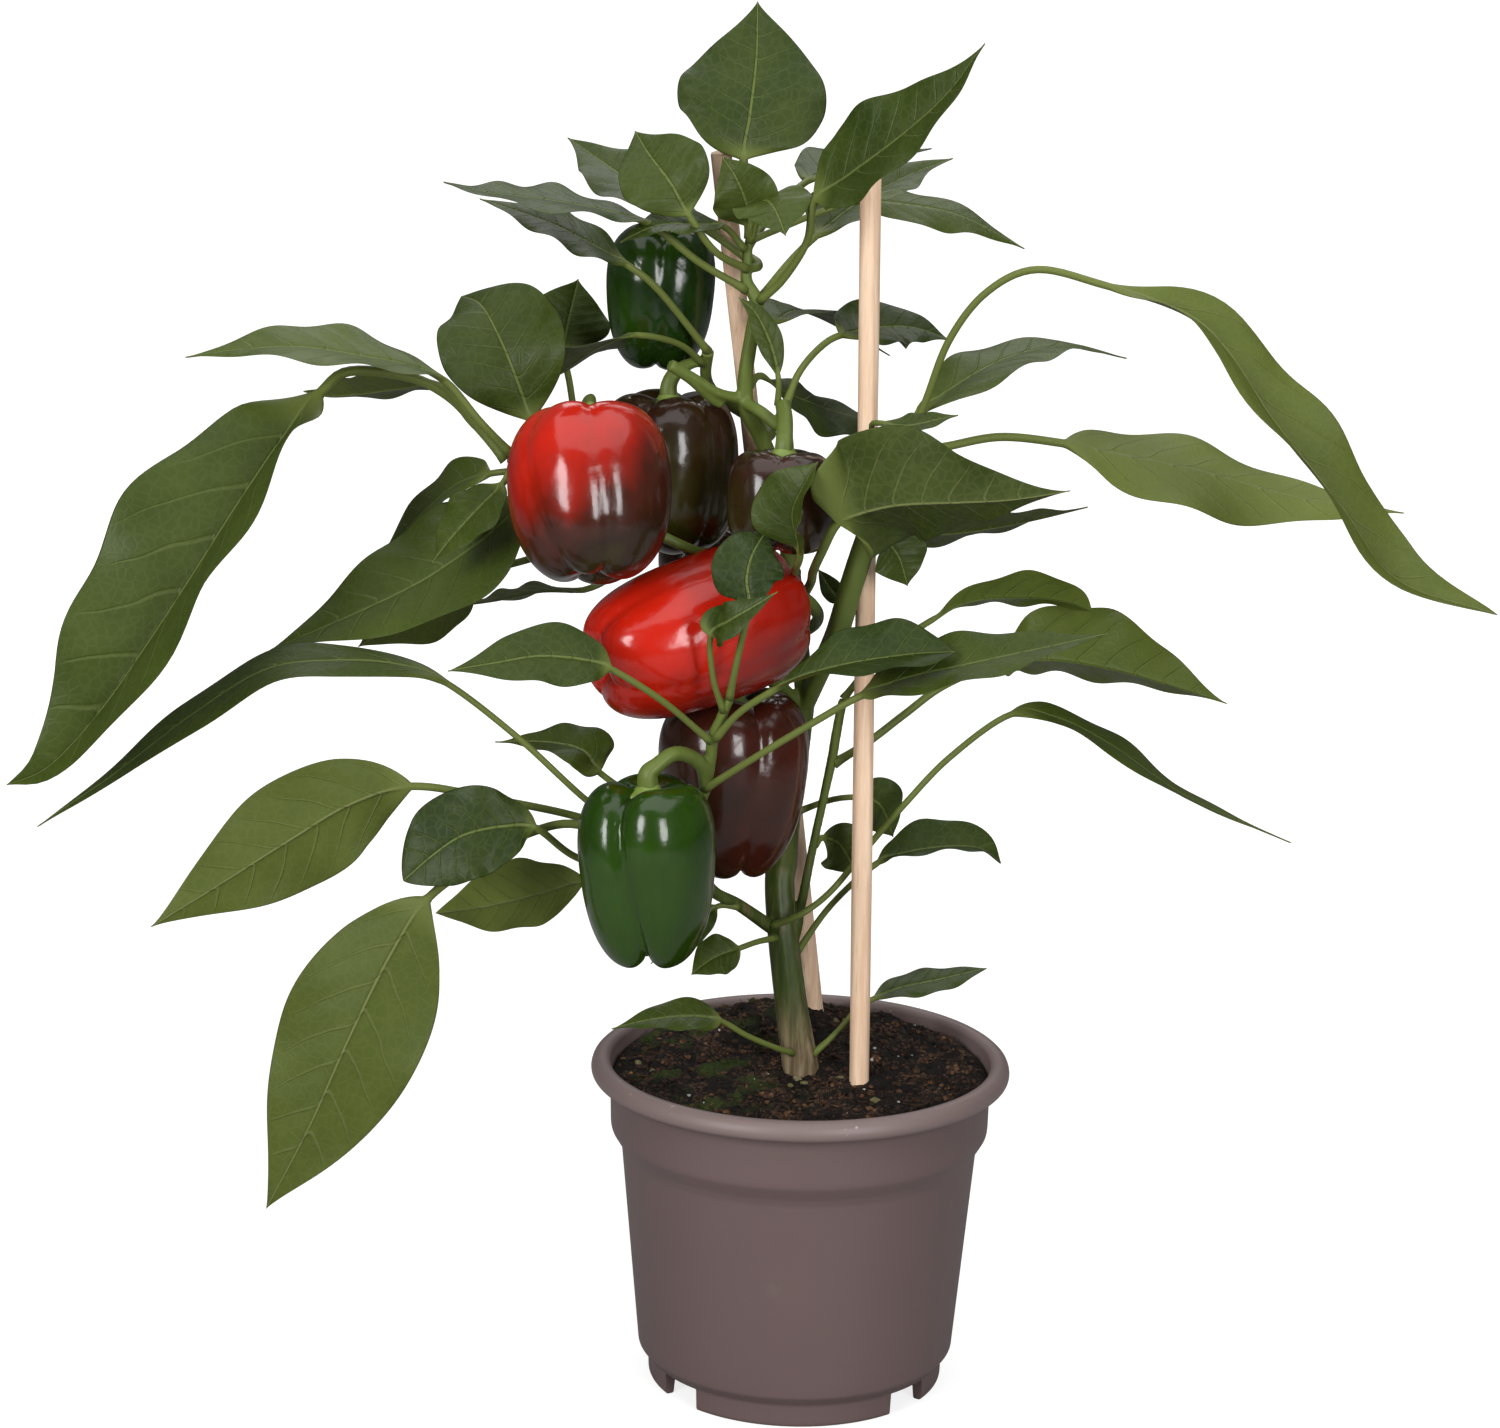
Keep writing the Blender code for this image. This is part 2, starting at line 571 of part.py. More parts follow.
def leaf_rings(leaf, start):
    """Rings of eight points down the petiole and the blade, and the tip."""
    curve = smooth_curve(leaf["route"])
    along = lengths_along(curve)
    base = along[PER_SPAN * leaf["blade"]]
    petiole = np.linspace(start, base, leaf["petiole_steps"], endpoint=False)
    blade_s = BLADE_STATIONS
    distances = np.r_[petiole, base + blade_s * (along[-1] - base)]
    centre, tangent = at_lengths(curve, distances)
    s = np.r_[np.zeros(len(petiole)), blade_s]
    up = np.outer(1 - s, leaf["up"][0]) + np.outer(s, leaf["up"][1])
    up -= (up * tangent).sum(1)[:, None] * tangent
    up /= np.linalg.norm(up, axis=1)[:, None]
    side = np.cross(tangent, up)
    stalk = PETIOLE_RADIUS + PETIOLE_SHARE * leaf["width"]
    half = np.maximum(leaf["width"] / 2 * blade_profile(s, leaf["peak"], leaf["full"]), stalk * (1 - s))
    flat = np.clip(s / BLADE_FLAT_FROM, 0, 1)
    fold = np.radians(leaf["fold"]) * flat
    top = stalk * (1 - flat) + BLADE_TOP * flat
    under = stalk * (1 - flat) + BLADE_RIB * flat
    rings = []
    for k in range(8):
        turn = np.pi * (1 - k / 4)
        across, height = np.cos(turn), np.sin(turn)
        thick = np.where(height > 0, top, under)
        if k in (5, 7):
            thick = stalk * (1 - flat) + BLADE_TOP * flat
        spread = (half * across)[:, None]
        lift = (half * abs(across) * np.sin(fold) + thick * height)[:, None]
        rings.append(centre + spread * np.cos(fold)[:, None] * side + lift * up)
    return np.stack(rings, axis=1), curve[-1]


def make_material(name, colour, roughness, metallic=0.0):
    """A Principled material."""
    material = bpy.data.materials.new(name)
    material.use_nodes = True
    shader = material.node_tree.nodes["Principled BSDF"]
    shader.inputs["Base Color"].default_value = (*colour, 1.0)
    shader.inputs["Roughness"].default_value = roughness
    shader.inputs["Metallic"].default_value = metallic
    return material


def make_object(name, points, faces, colour, roughness):
    """A mesh object from points in millimetres."""
    mesh = bpy.data.meshes.new(name)
    mesh.from_pydata((np.asarray(points) * MM).tolist(), [], [list(face) for face in faces])
    mesh.validate()
    mesh.shade_smooth()
    mesh.set_sharp_from_angle(angle=np.radians(35))
    item = bpy.data.objects.new(name, mesh)
    mesh.materials.append(make_material(name, colour, roughness))
    bpy.context.scene.collection.objects.link(item)
    return item


def hide_helper(item):
    """Marks an object as a helper that is no piece of its own."""
    item.hide_render = True
    item.display_type = "WIRE"


def add_boolean(item, other, operation):
    """Cuts or joins the object with a helper."""
    hide_helper(other)
    modifier = item.modifiers.new(other.name, "BOOLEAN")
    modifier.operation = operation
    modifier.solver = "EXACT"
    modifier.object = other


def close_rings(rings, first, last):
    """Points and outward faces of a closed body through rings and two poles."""
    count, sides, _ = rings.shape
    points = list(rings.reshape(-1, 3)) + [first, last]
    faces = []
    for i in range(count - 1):
        for k in range(sides):
            a, b = i * sides + k, i * sides + (k + 1) % sides
            faces.append((a, b, b + sides, a + sides))
    start, end = len(points) - 2, len(points) - 1
    under = (count - 1) * sides
    for k in range(sides):
        faces.append((start, (k + 1) % sides, k))
        faces.append((end, under + k, under + (k + 1) % sides))
    points = np.array(points)
    if body_volume(points, faces) < 0:
        faces = [face[::-1] for face in faces]
    return points, faces


def body_volume(points, faces):
    """The signed volume inside the faces."""
    total = 0.0
    for face in faces:
        for b, c in zip(face[1:-1], face[2:]):
            total += np.dot(points[face[0]], np.cross(points[b], points[c])) / 6
    return total


def turned_body(name, profile, sides, colour, roughness, height=None):
    """A profile of (radius, z), from the axis back to the axis, turned about Z."""
    angles = 2 * np.pi * np.arange(sides) / sides
    rings = []
    for radius, z in profile[1:-1]:
        x, y = radius * np.cos(angles), radius * np.sin(angles)
        rings.append(np.stack([x, y, np.full(sides, float(z))], axis=1))
    rings = np.array(rings)
    first = np.array([0.0, 0.0, profile[0][1]])
    last = np.array([0.0, 0.0, profile[-1][1]])
    if height is not None:
        for ring in rings[-height["rings"]:]:
            ring[:, 2] = height["of"](ring[:, 0], ring[:, 1])
        last[2] = height["of"](0.0, 0.0)
    return make_object(name, *close_rings(rings, first, last), colour, roughness)


def tube_frames(centre):
    """Two unit vectors across a centre line at each of its points."""
    tangent = np.gradient(centre, axis=0)
    tangent /= np.linalg.norm(tangent, axis=1)[:, None]
    across = np.cross(tangent[0], (0.31, 0.94, 0.13))
    pairs = []
    for direction in tangent:
        across = across - np.dot(across, direction) * direction
        across = across / np.linalg.norm(across)
        pairs.append((across, np.cross(direction, across)))
    return pairs


def tube_body(centre, radii, sides):
    """Points and faces of a round tube with flat ends."""
    angles = 2 * np.pi * np.arange(sides) / sides
    rings = []
    for place, radius, (u, v) in zip(centre, radii, tube_frames(centre)):
        rings.append(place + radius * (np.outer(np.cos(angles), u) + np.outer(np.sin(angles), v)))
    return close_rings(np.array(rings), centre[0], centre[-1])


def make_pot():
    """The pot, with four notches in its foot for drainage."""
    inner = COLLAR_RADIUS - WALL
    profile = [
        (0, 0), (30, 0), (32.5, 10), (55.5, 10), (56.5, 0), (FOOT_RADIUS, 0), (60.3, 1.2),
        (60.6, 9.6), (BODY_FOOT_RADIUS, 14), (BODY_TOP_RADIUS, 98), (73.2, 101),
        (76.5, 106.5), (COLLAR_RADIUS, 108.5), (77.2, 128.3), (83.6, 128.6), (84.8, 130),
        (RIM_RADIUS, 132), (84.2, 134.4), (82.4, 136), (80.6, RIM_HEIGHT), (78.6, 136.1),
        (77.2, 134.7), (inner, 109), (BODY_TOP_RADIUS - WALL, 98),
        (BODY_FOOT_RADIUS - WALL, 15.8), (60.8, PAN_HEIGHT), (31, PAN_HEIGHT),
        (WELL_RADIUS, 2), (0, 2),
    ]
    pot = turned_body("pot", profile, POT_SIDES, (0.115, 0.088, 0.082), 0.5)
    for number, angle in enumerate(NOTCH_ANGLES):
        add_boolean(pot, make_notch("notch_%d" % number, np.radians(angle)), "DIFFERENCE")


def make_notch(name, angle):
    """A cutter through the pot's foot, facing outwards at the angle from +Y."""
    out = np.array([np.sin(angle), np.cos(angle), 0])
    side = np.array([np.cos(angle), -np.sin(angle), 0])
    corners = []
    for z in (-2.0, NOTCH_HEIGHT):
        for distance, half in ((50, -1), (50, 1), (70, 1), (70, -1)):
            corners.append(out * distance + side * half * NOTCH_WIDTH / 2 + (0, 0, z))
    faces = [(0, 1, 2, 3), (7, 6, 5, 4)] + [(k, k + 4, (k + 1) % 4 + 4, (k + 1) % 4) for k in range(4)]
    points = np.array(corners)
    if body_volume(points, faces) < 0:
        faces = [face[::-1] for face in faces]
    return make_object(name, points, faces, STEM_COLOUR, 0.5)


def soil_height(x, y):
    """Height of the soil, raised towards the back and heaped at the back left."""
    heap_x, heap_y, heap_height, spread = SOIL_HEAP
    inside = 1 - ((x**2 + y**2) / SOIL_RADIUS**2) ** 2
    edge = SOIL_EDGE + SOIL_TILT * np.clip((y + 20) / 95, 0, 1)
    back = SOIL_BACK * np.clip(y / 50, 0, 1) ** 2
    heap = heap_height * np.exp(-((x - heap_x) ** 2 + (y - heap_y) ** 2) / (2 * spread**2))
    return edge + inside * (1.0 + back + heap)


def make_soil():
    """The soil, which fills the pot round the root and the two canes."""
    in_wall = WALL + SOIL_TO_POT
    floor = PAN_HEIGHT + SOIL_TO_POT
    profile = [
        (0, 2 + SOIL_TO_POT), (WELL_RADIUS - SOIL_TO_POT, 2 + SOIL_TO_POT), (30.5, floor),
        (60.4, floor), (BODY_FOOT_RADIUS - in_wall, 16.2), (BODY_TOP_RADIUS - in_wall, 98.2),
        (COLLAR_RADIUS - in_wall, 109.2), (SOIL_RADIUS, SOIL_EDGE),
        (66, SOIL_EDGE), (52, SOIL_EDGE), (36, SOIL_EDGE), (18, SOIL_EDGE), (0, SOIL_EDGE),
    ]
    surface = {"rings": 5, "of": soil_height}
    soil = turned_body("soil", profile, SOIL_SIDES, (0.030, 0.018, 0.012), 0.95, surface)
    for name, (top, ground, foot_z) in CANES.items():
        foot = cane_foot(top, ground, foot_z)
        along = unit(np.subtract(top, ground))
        hole = np.array([foot - along * GAP, np.add(ground, along * 30)])
        radii = [CANE_RADIUS + GAP] * 2
        cutter = make_object("hole_" + name, *tube_body(hole, radii, 12), STEM_COLOUR, 0.5)
        add_boolean(soil, cutter, "DIFFERENCE")
    root = np.array(STEMS["trunk"][:ROOT_ROWS])
    centre, radii = root[:, :3].copy(), root[:, 3] + 1.3 * GAP
    centre[0, 2] -= GAP
    cutter = make_object("hole_root", *tube_body(centre, radii, 8), STEM_COLOUR, 0.5)
    add_boolean(soil, cutter, "DIFFERENCE")


def unit(vector):
    """The vector at length 1."""
    return np.asarray(vector, float) / np.linalg.norm(vector)


def cane_foot(top, ground, foot_z):
    """The lower end of a cane, at the height foot_z on its own line."""
    along = np.subtract(ground, top).astype(float)
    return np.array(top) + along * (foot_z - top[2]) / along[2]


def make_canes():
    """The two wooden canes, which stand in the soil."""
    for name, (top, ground, foot_z) in CANES.items():
        centre = np.array([cane_foot(top, ground, foot_z), np.array(top, float)])
        body = tube_body(centre, [CANE_RADIUS] * 2, 12)
        make_object(name, *body, (0.55, 0.36, 0.20), 0.6)


def stem_lines():
    """The centre line and the radii of every stem piece."""
    lines = {}
    for name, rows in STEMS.items():
        rows = np.array(rows, float)
        if name in STALKS:
            item = FRUITS[STALKS[name]]
            axis = unit(item["end"] - item["top"])
            rows[-1, :3] = item["top"] - STALK_END * axis
            rows = np.vstack([rows, [*item["top"], rows[-1, 3]]])
        spans = 1 if name in STALKS else 2
        centre = smooth_curve(rows[:, :3], spans)
        places = np.arange(len(centre)) / spans
        lines[name] = (centre, np.interp(places, np.arange(len(rows)), rows[:, 3]))
    return lines


def make_stem(lines):
    """The trunk with every branch and fruit stalk joined to it."""
    stem = None
    for name, (centre, radii) in lines.items():
        sides = 8 if name == "trunk" else 6
        label = "stem" if stem is None else name
        item = make_object(label, *tube_body(centre, radii, sides), STEM_COLOUR, 0.5)
        if stem is None:
            stem = item
        else:
            add_boolean(stem, item, "UNION")


def stem_surface():
    """The finished stem's surface, in metres, for finding where a petiole leaves it."""
    bpy.context.view_layer.update()
    return BVHTree.FromObject(bpy.data.objects["stem"], bpy.context.evaluated_depsgraph_get())


def clearance(point, surface):
    """The distance in mm from a point to the stem's surface, negative inside the stem."""
    place, normal, _, distance = surface.find_nearest(Vector(point * MM))
    outside = (Vector(point * MM) - place).dot(normal) > 0
    return distance / MM if outside else -distance / MM


def petiole_start(item, curve, surface, radius):
    """The first distance along the route at which a petiole of the radius clears the stem."""
    distance = 0.0
    while True:
        place, tangent = at_lengths(curve, [distance])
        up = np.array(item["up"][0], float)
        up = unit(up - np.dot(up, tangent[0]) * tangent[0])
        side = np.cross(tangent[0], up)
        corners = [
            place[0] + radius * (np.cos(turn) * side + np.sin(turn) * up)
            for turn in np.arange(8) * np.pi / 4
        ]
        if min(clearance(corner, surface) for corner in corners) >= GAP:
            return distance
        distance += FOOT_STEP


def make_leaves(surface):
    """Every leaf, its foot set just clear of the stem."""
    for name, item in LEAVES.items():
        curve = smooth_curve(item["route"])
        radius = PETIOLE_RADIUS + PETIOLE_SHARE * item["width"]
        rings, tip = leaf_rings(item, petiole_start(item, curve, surface, radius))
        foot = at_lengths(curve, [petiole_start(item, curve, surface, 0.0)])[0][0]
        make_object(name, *close_rings(rings, foot, tip), LEAF_COLOUR, 0.5)


def fruit_rings(item, socket):
    """Rings of a fruit, from the floor of the stalk's dimple to the blossom end."""
    axis = item["end"] - item["top"]
    length = np.linalg.norm(axis)
    axis = axis / length
    u = unit(np.cross(axis, (0.0, 1.0, 0.0)))
    v = np.cross(axis, u)
    angles = 2 * np.pi * np.arange(FRUIT_SIDES) / FRUIT_SIDES
    around = np.outer(np.cos(angles), u) + np.outer(np.sin(angles), v)
    wave = 1 - LOBE_DEPTH * np.cos(item["lobes"] * angles - item["turn"])
    rings = [item["top"] + GAP * axis + socket * around]
    for share, size in FRUIT_FORM:
        size *= 1 - item["taper"] * share
        if share < 0.2:
            size *= item["shoulder"]
        rings.append(item["top"] + share * length * axis + (item["radius"] * size * wave)[:, None] * around)
    end = item["end"] - END_DIMPLE * axis
    return np.array(rings), item["top"] + GAP * axis, end


def make_fruits():
    """The eight fruits, each just clear of the end of its stalk."""
    stalk_of = {fruit_name: stalk for stalk, fruit_name in STALKS.items()}
    for name, item in FRUITS.items():
        socket = STEMS[stalk_of[name]][-1][3] + SOCKET
        body = close_rings(*fruit_rings(item, socket))
        make_object(name, *body, item["colour"], 0.15)


def main():
    for item in list(bpy.data.objects):
        bpy.data.objects.remove(item, do_unlink=True)
    make_pot()
    make_soil()
    make_canes()
    make_stem(stem_lines())
    make_leaves(stem_surface())
    make_fruits()


main()
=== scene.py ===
# %% [markdown]
# # A potted sweet pepper plant
#
# This notebook dresses a plain solid model of a pepper plant in its pot. The
# solids give every size and place. Here each leaf, fruit, stalk, the soil and the
# pot get their fine surface and their material.
#
# All places are in millimetres until the last moment, when a mesh is made, because
# a plant is easier to think about in millimetres than in metres.

import bpy
import numpy as np
from mathutils import Matrix


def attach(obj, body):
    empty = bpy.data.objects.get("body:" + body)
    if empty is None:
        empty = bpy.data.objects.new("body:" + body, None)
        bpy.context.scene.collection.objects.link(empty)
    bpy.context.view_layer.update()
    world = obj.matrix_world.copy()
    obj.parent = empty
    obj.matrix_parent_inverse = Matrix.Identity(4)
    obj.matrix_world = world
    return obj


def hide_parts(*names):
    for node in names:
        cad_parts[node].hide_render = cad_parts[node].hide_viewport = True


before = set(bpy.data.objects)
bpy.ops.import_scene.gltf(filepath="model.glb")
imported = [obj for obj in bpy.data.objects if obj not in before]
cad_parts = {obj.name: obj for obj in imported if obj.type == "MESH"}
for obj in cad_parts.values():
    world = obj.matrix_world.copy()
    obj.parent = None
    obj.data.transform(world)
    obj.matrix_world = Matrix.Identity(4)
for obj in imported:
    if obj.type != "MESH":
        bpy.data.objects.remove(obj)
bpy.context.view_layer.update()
MM = 0.001
print("solid pieces:", len(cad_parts))

# %% [markdown]
# ## Camera
#
# The plant is looked at from about one and a half metres away, a little from above,
# with a long lens. A long lens keeps the near leaves from looking too large. Three
# angles turn into the camera's own right, up and back directions, and those are the
# columns of its matrix.

# %% Place the camera
CAMERA_PLACE = (0.0, -1.450, 0.625)
PITCH, YAW, ROLL = np.radians([13.453, -0.904, 0.987])
LENS, SENSOR = 90.0, 36.0


def camera_axes():
    """Right, up and forward directions of the camera from its three angles."""
    ahead = np.array([np.sin(YAW) * np.cos(PITCH), np.cos(YAW) * np.cos(PITCH), -np.sin(PITCH)])
    level = np.array([np.cos(YAW), -np.sin(YAW), 0.0])
    upright = np.cross(level, ahead)
    right = np.cos(ROLL) * level + np.sin(ROLL) * upright
    up = np.cos(ROLL) * upright - np.sin(ROLL) * level
    return right, up, ahead


def axes_matrix(right, up, back, place):
    """A world matrix: its columns are the right, up and back directions and the place."""
    matrix = np.eye(4)
    matrix[:3, :] = np.stack([right, up, back, np.array(place, float)], axis=1)
    return Matrix(matrix.tolist())


def add_object(name, data):
    """An object of the data, linked into the scene."""
    item = bpy.data.objects.new(name, data)
    bpy.context.scene.collection.objects.link(item)
    return item


right, up, ahead = camera_axes()
camera = add_object("camera", bpy.data.cameras.new("camera"))
camera.data.lens, camera.data.sensor_width = LENS, SENSOR
camera.matrix_world = axes_matrix(right, up, -ahead, CAMERA_PLACE)
bpy.context.scene.camera = camera
bpy.context.scene.view_settings.view_transform = "Standard"
print("camera looks along", np.round(ahead, 3))

# %% [markdown]
# ## A small language for materials
#
# A material in Blender is a graph of nodes. Writing that graph link by link hides
# the thought behind it. So one small class wraps a socket and knows how to add,
# multiply and compare: an expression such as `1 - vein * 0.5` then adds its own
# Math nodes. Any other node comes from one method, `node`.

# %% Sockets that can be calculated with
class Socket:
    """A socket of a material's graph that stands for a number in an expression."""

    def __init__(self, graph, socket):
        self.graph, self.socket = graph, socket

    def math(self, operation, *others):
        return self.graph.node("ShaderNodeMath", {"operation": operation}, [self, *others])

    def __add__(self, other):
        return self.math("ADD", other)

    __radd__ = __add__

    def __mul__(self, other):
        return self.math("MULTIPLY", other)

    __rmul__ = __mul__

    def __sub__(self, other):
        return self.math("SUBTRACT", other)

    def __rsub__(self, other):
        return (self * -1.0) + other

    def __truediv__(self, other):
        return self.math("DIVIDE", other)

    def __pow__(self, other):
        return self.math("POWER", other)

    def __abs__(self):
        return self.math("ABSOLUTE")

    def clamp(self):
        return self.math("MAXIMUM", 0.0).math("MINIMUM", 1.0)

    def smooth(self, low, high):
        """0 below low, 1 above high, with a soft step between them."""
        t = ((self - low) / (high - low)).clamp()
        return t * t * (3.0 - 2.0 * t)


class Graph:
    """The nodes of a material or a world, with a method that adds a node and one for the finish."""

    def __init__(self, name, world=None):
        self.material = world or bpy.data.materials.new(name)
        self.material.use_nodes = True
        self.tree = self.material.node_tree
        self.tree.nodes.clear()

    def node(self, kind, settings=None, inputs=None, output=0):
        """A node of a kind: its settings first, then its sockets' values or links."""
        item = self.tree.nodes.new(kind)
        for key, value in (settings or {}).items():
            setattr(item, key, value)
        if isinstance(inputs, dict):
            pairs = inputs.items()
        else:
            pairs = enumerate(inputs or [])
        for key, value in pairs:
            if isinstance(value, Socket):
                self.tree.links.new(value.socket, item.inputs[key])
            else:
                item.inputs[key].default_value = value
        return Socket(self, item.outputs[output]) if item.outputs else None

    def place(self):
        """The point's own place on the piece, in metres."""
        return self.node("ShaderNodeTexCoord", output="Object")

    def coordinate(self, axis):
        """One coordinate of the place, in metres: axis 0, 1 or 2."""
        return self.node("ShaderNodeSeparateXYZ", None, [self.place()], axis)

    def attribute(self, name):
        """A number stored on the mesh."""
        return self.node("ShaderNodeAttribute", {"attribute_name": name}, output="Fac")

    def noise(self, scale, detail=3.0, rough=0.5, where=None):
        """Noise between 0 and 1 whose features are about 1/scale metres apart."""
        inputs = {"Vector": where or self.place(), "Scale": scale, "Detail": detail, "Roughness": rough}
        return self.node("ShaderNodeTexNoise", None, inputs, "Fac")

    def mix(self, factor, first, second):
        """A colour between two colours."""
        inputs = {0: factor, 6: rgba(first), 7: rgba(second)}
        return self.node("ShaderNodeMix", {"data_type": "RGBA", "clamp_factor": True}, inputs, 2)

    def stretch(self, vector, scale):
        """A vector scaled along each axis."""
        inputs = {0: vector, 1: scale}
        return self.node("ShaderNodeVectorMath", {"operation": "MULTIPLY"}, inputs)

    def bump(self, height, distance, strength):
        """A normal bent by a height in units of distance metres."""
        inputs = {"Strength": strength, "Distance": distance, "Height": height}
        return self.node("ShaderNodeBump", None, inputs)

    def finish(self, **inputs):
        """The Principled shader with the given inputs, led to the output."""
        named = {key.replace("_", " "): value for key, value in inputs.items()}
        named["Base Color"] = rgba(named["Base Color"])
        shader = self.node("ShaderNodeBsdfPrincipled", None, named)
        self.node("ShaderNodeOutputMaterial", None, {"Surface": shader})
        return self.material


def rgba(colour):
    """A colour tuple with its alpha, or a socket as it is."""
    return colour if isinstance(colour, Socket) else (*colour, 1.0)


# %% [markdown]
# ## From arrays to meshes
#
# Every surface here is a grid of points worked out with numpy. One function turns
# such arrays into a Blender mesh in one go, which is far quicker than adding
# corners one at a time. It also stores numbers on the points, such as how far a
# point lies along a leaf, for the materials to read.

# %% Meshes from grids of points
def grid_faces(rows, columns, closed=True):
    """Quads between neighbouring rows and columns; closed joins the last column to the first."""
    i = np.arange(rows - 1)[:, None]
    k = np.arange(columns if closed else columns - 1)[None, :]
    after = (k + 1) % columns
    a, b = i * columns + k, i * columns + after
    return np.stack([a, b, b + columns, a + columns], axis=-1).reshape(-1, 4)


def cap_faces(row, columns, pole, reverse):
    """Triangles from one row of a closed grid to a pole point."""
    k = np.arange(columns)
    a, b = row * columns + k, row * columns + (k + 1) % columns
    corners = (a, b) if reverse else (b, a)
    return np.stack([*corners, np.full(columns, pole)], axis=-1)


def signed_volume(points, quads, triangles):
    """The volume inside the faces: below 0 when they point inwards."""
    halves = [quads[:, [0, 1, 2]], quads[:, [0, 2, 3]], triangles]
    a, b, c = np.moveaxis(points[np.vstack(halves)], 1, 0)
    return np.einsum("ij,ij->i", a, np.cross(b, c)).sum() / 6


def make_mesh(name, points, quads, triangles, numbers=None):
    """A smooth mesh from points in millimetres, with numbers stored on its points."""
    if signed_volume(points, quads, triangles) < 0:
        quads, triangles = quads[:, ::-1], triangles[:, ::-1]
    corners = np.concatenate([quads.ravel(), triangles.ravel()]).astype(np.int32)
    sizes = np.concatenate([np.full(len(quads), 4), np.full(len(triangles), 3)])
    starts = np.concatenate([[0], np.cumsum(sizes)[:-1]]).astype(np.int32)
    mesh = bpy.data.meshes.new(name)
    mesh.vertices.add(len(points))
    mesh.vertices.foreach_set("co", (points * MM).astype(np.float32).ravel())
    mesh.loops.add(len(corners))
    mesh.loops.foreach_set("vertex_index", corners)
    mesh.polygons.add(len(sizes))
    mesh.polygons.foreach_set("loop_start", starts)
    mesh.update(calc_edges=True)
    for key, values in (numbers or {}).items():
        layer = mesh.attributes.new(key, "FLOAT", "POINT")
        layer.data.foreach_set("value", np.ascontiguousarray(values, np.float32).ravel())
    mesh.shade_smooth()
    return mesh


def make_piece(name, mesh, materials, slot, stands_for=()):
    """An object of a finished mesh that rides on the plant's one body."""
    for material in materials:
        mesh.materials.append(material)
    piece = add_object(name, mesh)
    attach(piece, "root")
    if stands_for:
        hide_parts(*stands_for)
    return piece


def close_grid(rings, first, last):
    """Points, quads and triangles of a closed body through rings (n, m, 3) and two poles."""
    count, sides, _ = rings.shape
    points = np.vstack([rings.reshape(-1, 3), [first], [last]])
    quads = grid_faces(count, sides)
    start = cap_faces(0, sides, count * sides, False)
    end = cap_faces(count - 1, sides, count * sides + 1, True)
    return points, quads, np.vstack([start, end])


# %% [markdown]
# ## Curves in space
#
# Stems and leaves follow routes: a few given points, joined by a smooth curve.
# A Catmull-Rom curve passes through every point, so a route can be read and changed
# like a list of pegs with a rod bent round them.

# %% Smooth curves and frames along them
PER_SPAN = 16


def unit(vectors):
    """Vectors at length 1."""
    vectors = np.asarray(vectors, float)
    return vectors / np.linalg.norm(vectors, axis=-1, keepdims=True)


def smooth_curve(points, per_span=PER_SPAN):
    """A Catmull-Rom curve: each span is a cubic set by its own and its neighbours' points."""
    p = np.asarray(points, float)
    ends = np.vstack([2 * p[0] - p[1], p, 2 * p[-1] - p[-2]])
    t = (np.arange(per_span) / per_span)[None, :, None]
    p0, p1, p2, p3 = (ends[k : len(ends) - 3 + k, None] for k in range(4))
    cubic = -p0 + 3 * p1 - 3 * p2 + p3
    square = 2 * p0 - 5 * p1 + 4 * p2 - p3
    spans = 0.5 * (2 * p1 + (p2 - p0) * t + square * t**2 + cubic * t**3)
    return np.vstack([spans.reshape(-1, p.shape[1]), p[-1:]])


def lengths_along(curve):
    """The distance along the curve at each of its points."""
    return np.r_[0, np.cumsum(np.linalg.norm(np.diff(curve, axis=0), axis=1))]


def at_lengths(curve, distances):
    """Points and unit tangents of the curve at the given distances along it."""
    along = lengths_along(curve)
    slope = unit(np.gradient(curve, axis=0))
    places = np.stack([np.interp(distances, along, curve[:, k]) for k in range(3)], axis=1)
    tangents = np.stack([np.interp(distances, along, slope[:, k]) for k in range(3)], axis=1)
    return places, unit(tangents)


def spokes(theta, u, v):
    """Directions at the angles theta in the plane of u and v: cos theta u + sin theta v."""
    return np.cos(theta)[..., None] * u + np.sin(theta)[..., None] * v


def soft_step(x, low, high):
    """0 below low, 1 above high, smooth between."""
    t = np.clip((x - low) / (high - low), 0, 1)
    return t * t * (3 - 2 * t)


# %% [markdown]
# ## Leaves
#
# A pepper leaf is a blade that hangs from a thin petiole. The midrib is a groove on
# top and a rib below. Side veins leave it in pairs and bend towards the tip, and the
# blade swells up a little between them. The margin is smooth but wavy.
#
# A flat card with a picture of a leaf would look flat from the side. Here the whole
# leaf is one loft: a ring of points that starts round, as the petiole, and opens out
# into the blade.

# %% The shape of a leaf
PETIOLE_RADIUS = 0.9
PETIOLE_SHARE = 0.014  # added petiole radius for each mm of blade width
BLADE_THICK = 0.28  # half thickness of the blade
FLATTENS_OVER = 0.13  # share of the blade over which the petiole flattens
ACROSS = np.array([0, 0.02, 0.045, 0.08, 0.14, 0.21, 0.29, 0.37, 0.46, 0.55])
ACROSS = np.r_[ACROSS, 0.64, 0.73, 0.81, 0.88, 0.94, 0.98]
ACROSS = np.r_[-1, -ACROSS[:0:-1], ACROSS, 1]
BLADE_ROWS, ROW_SPREAD, LAST_ROW = 54, 1.15, 0.992  # closer rows near the petiole
VEINS, VEIN_CLIMB, VEIN_BEND = 8, 0.17, 0.05  # pairs, and how far they climb outwards
WAVE, CAMBER, SWELLING = 0.07, 0.04, 0.012  # heights, as shares of the blade's half width
GROOVE_WIDTH = 0.9  # of the midrib's groove, mm


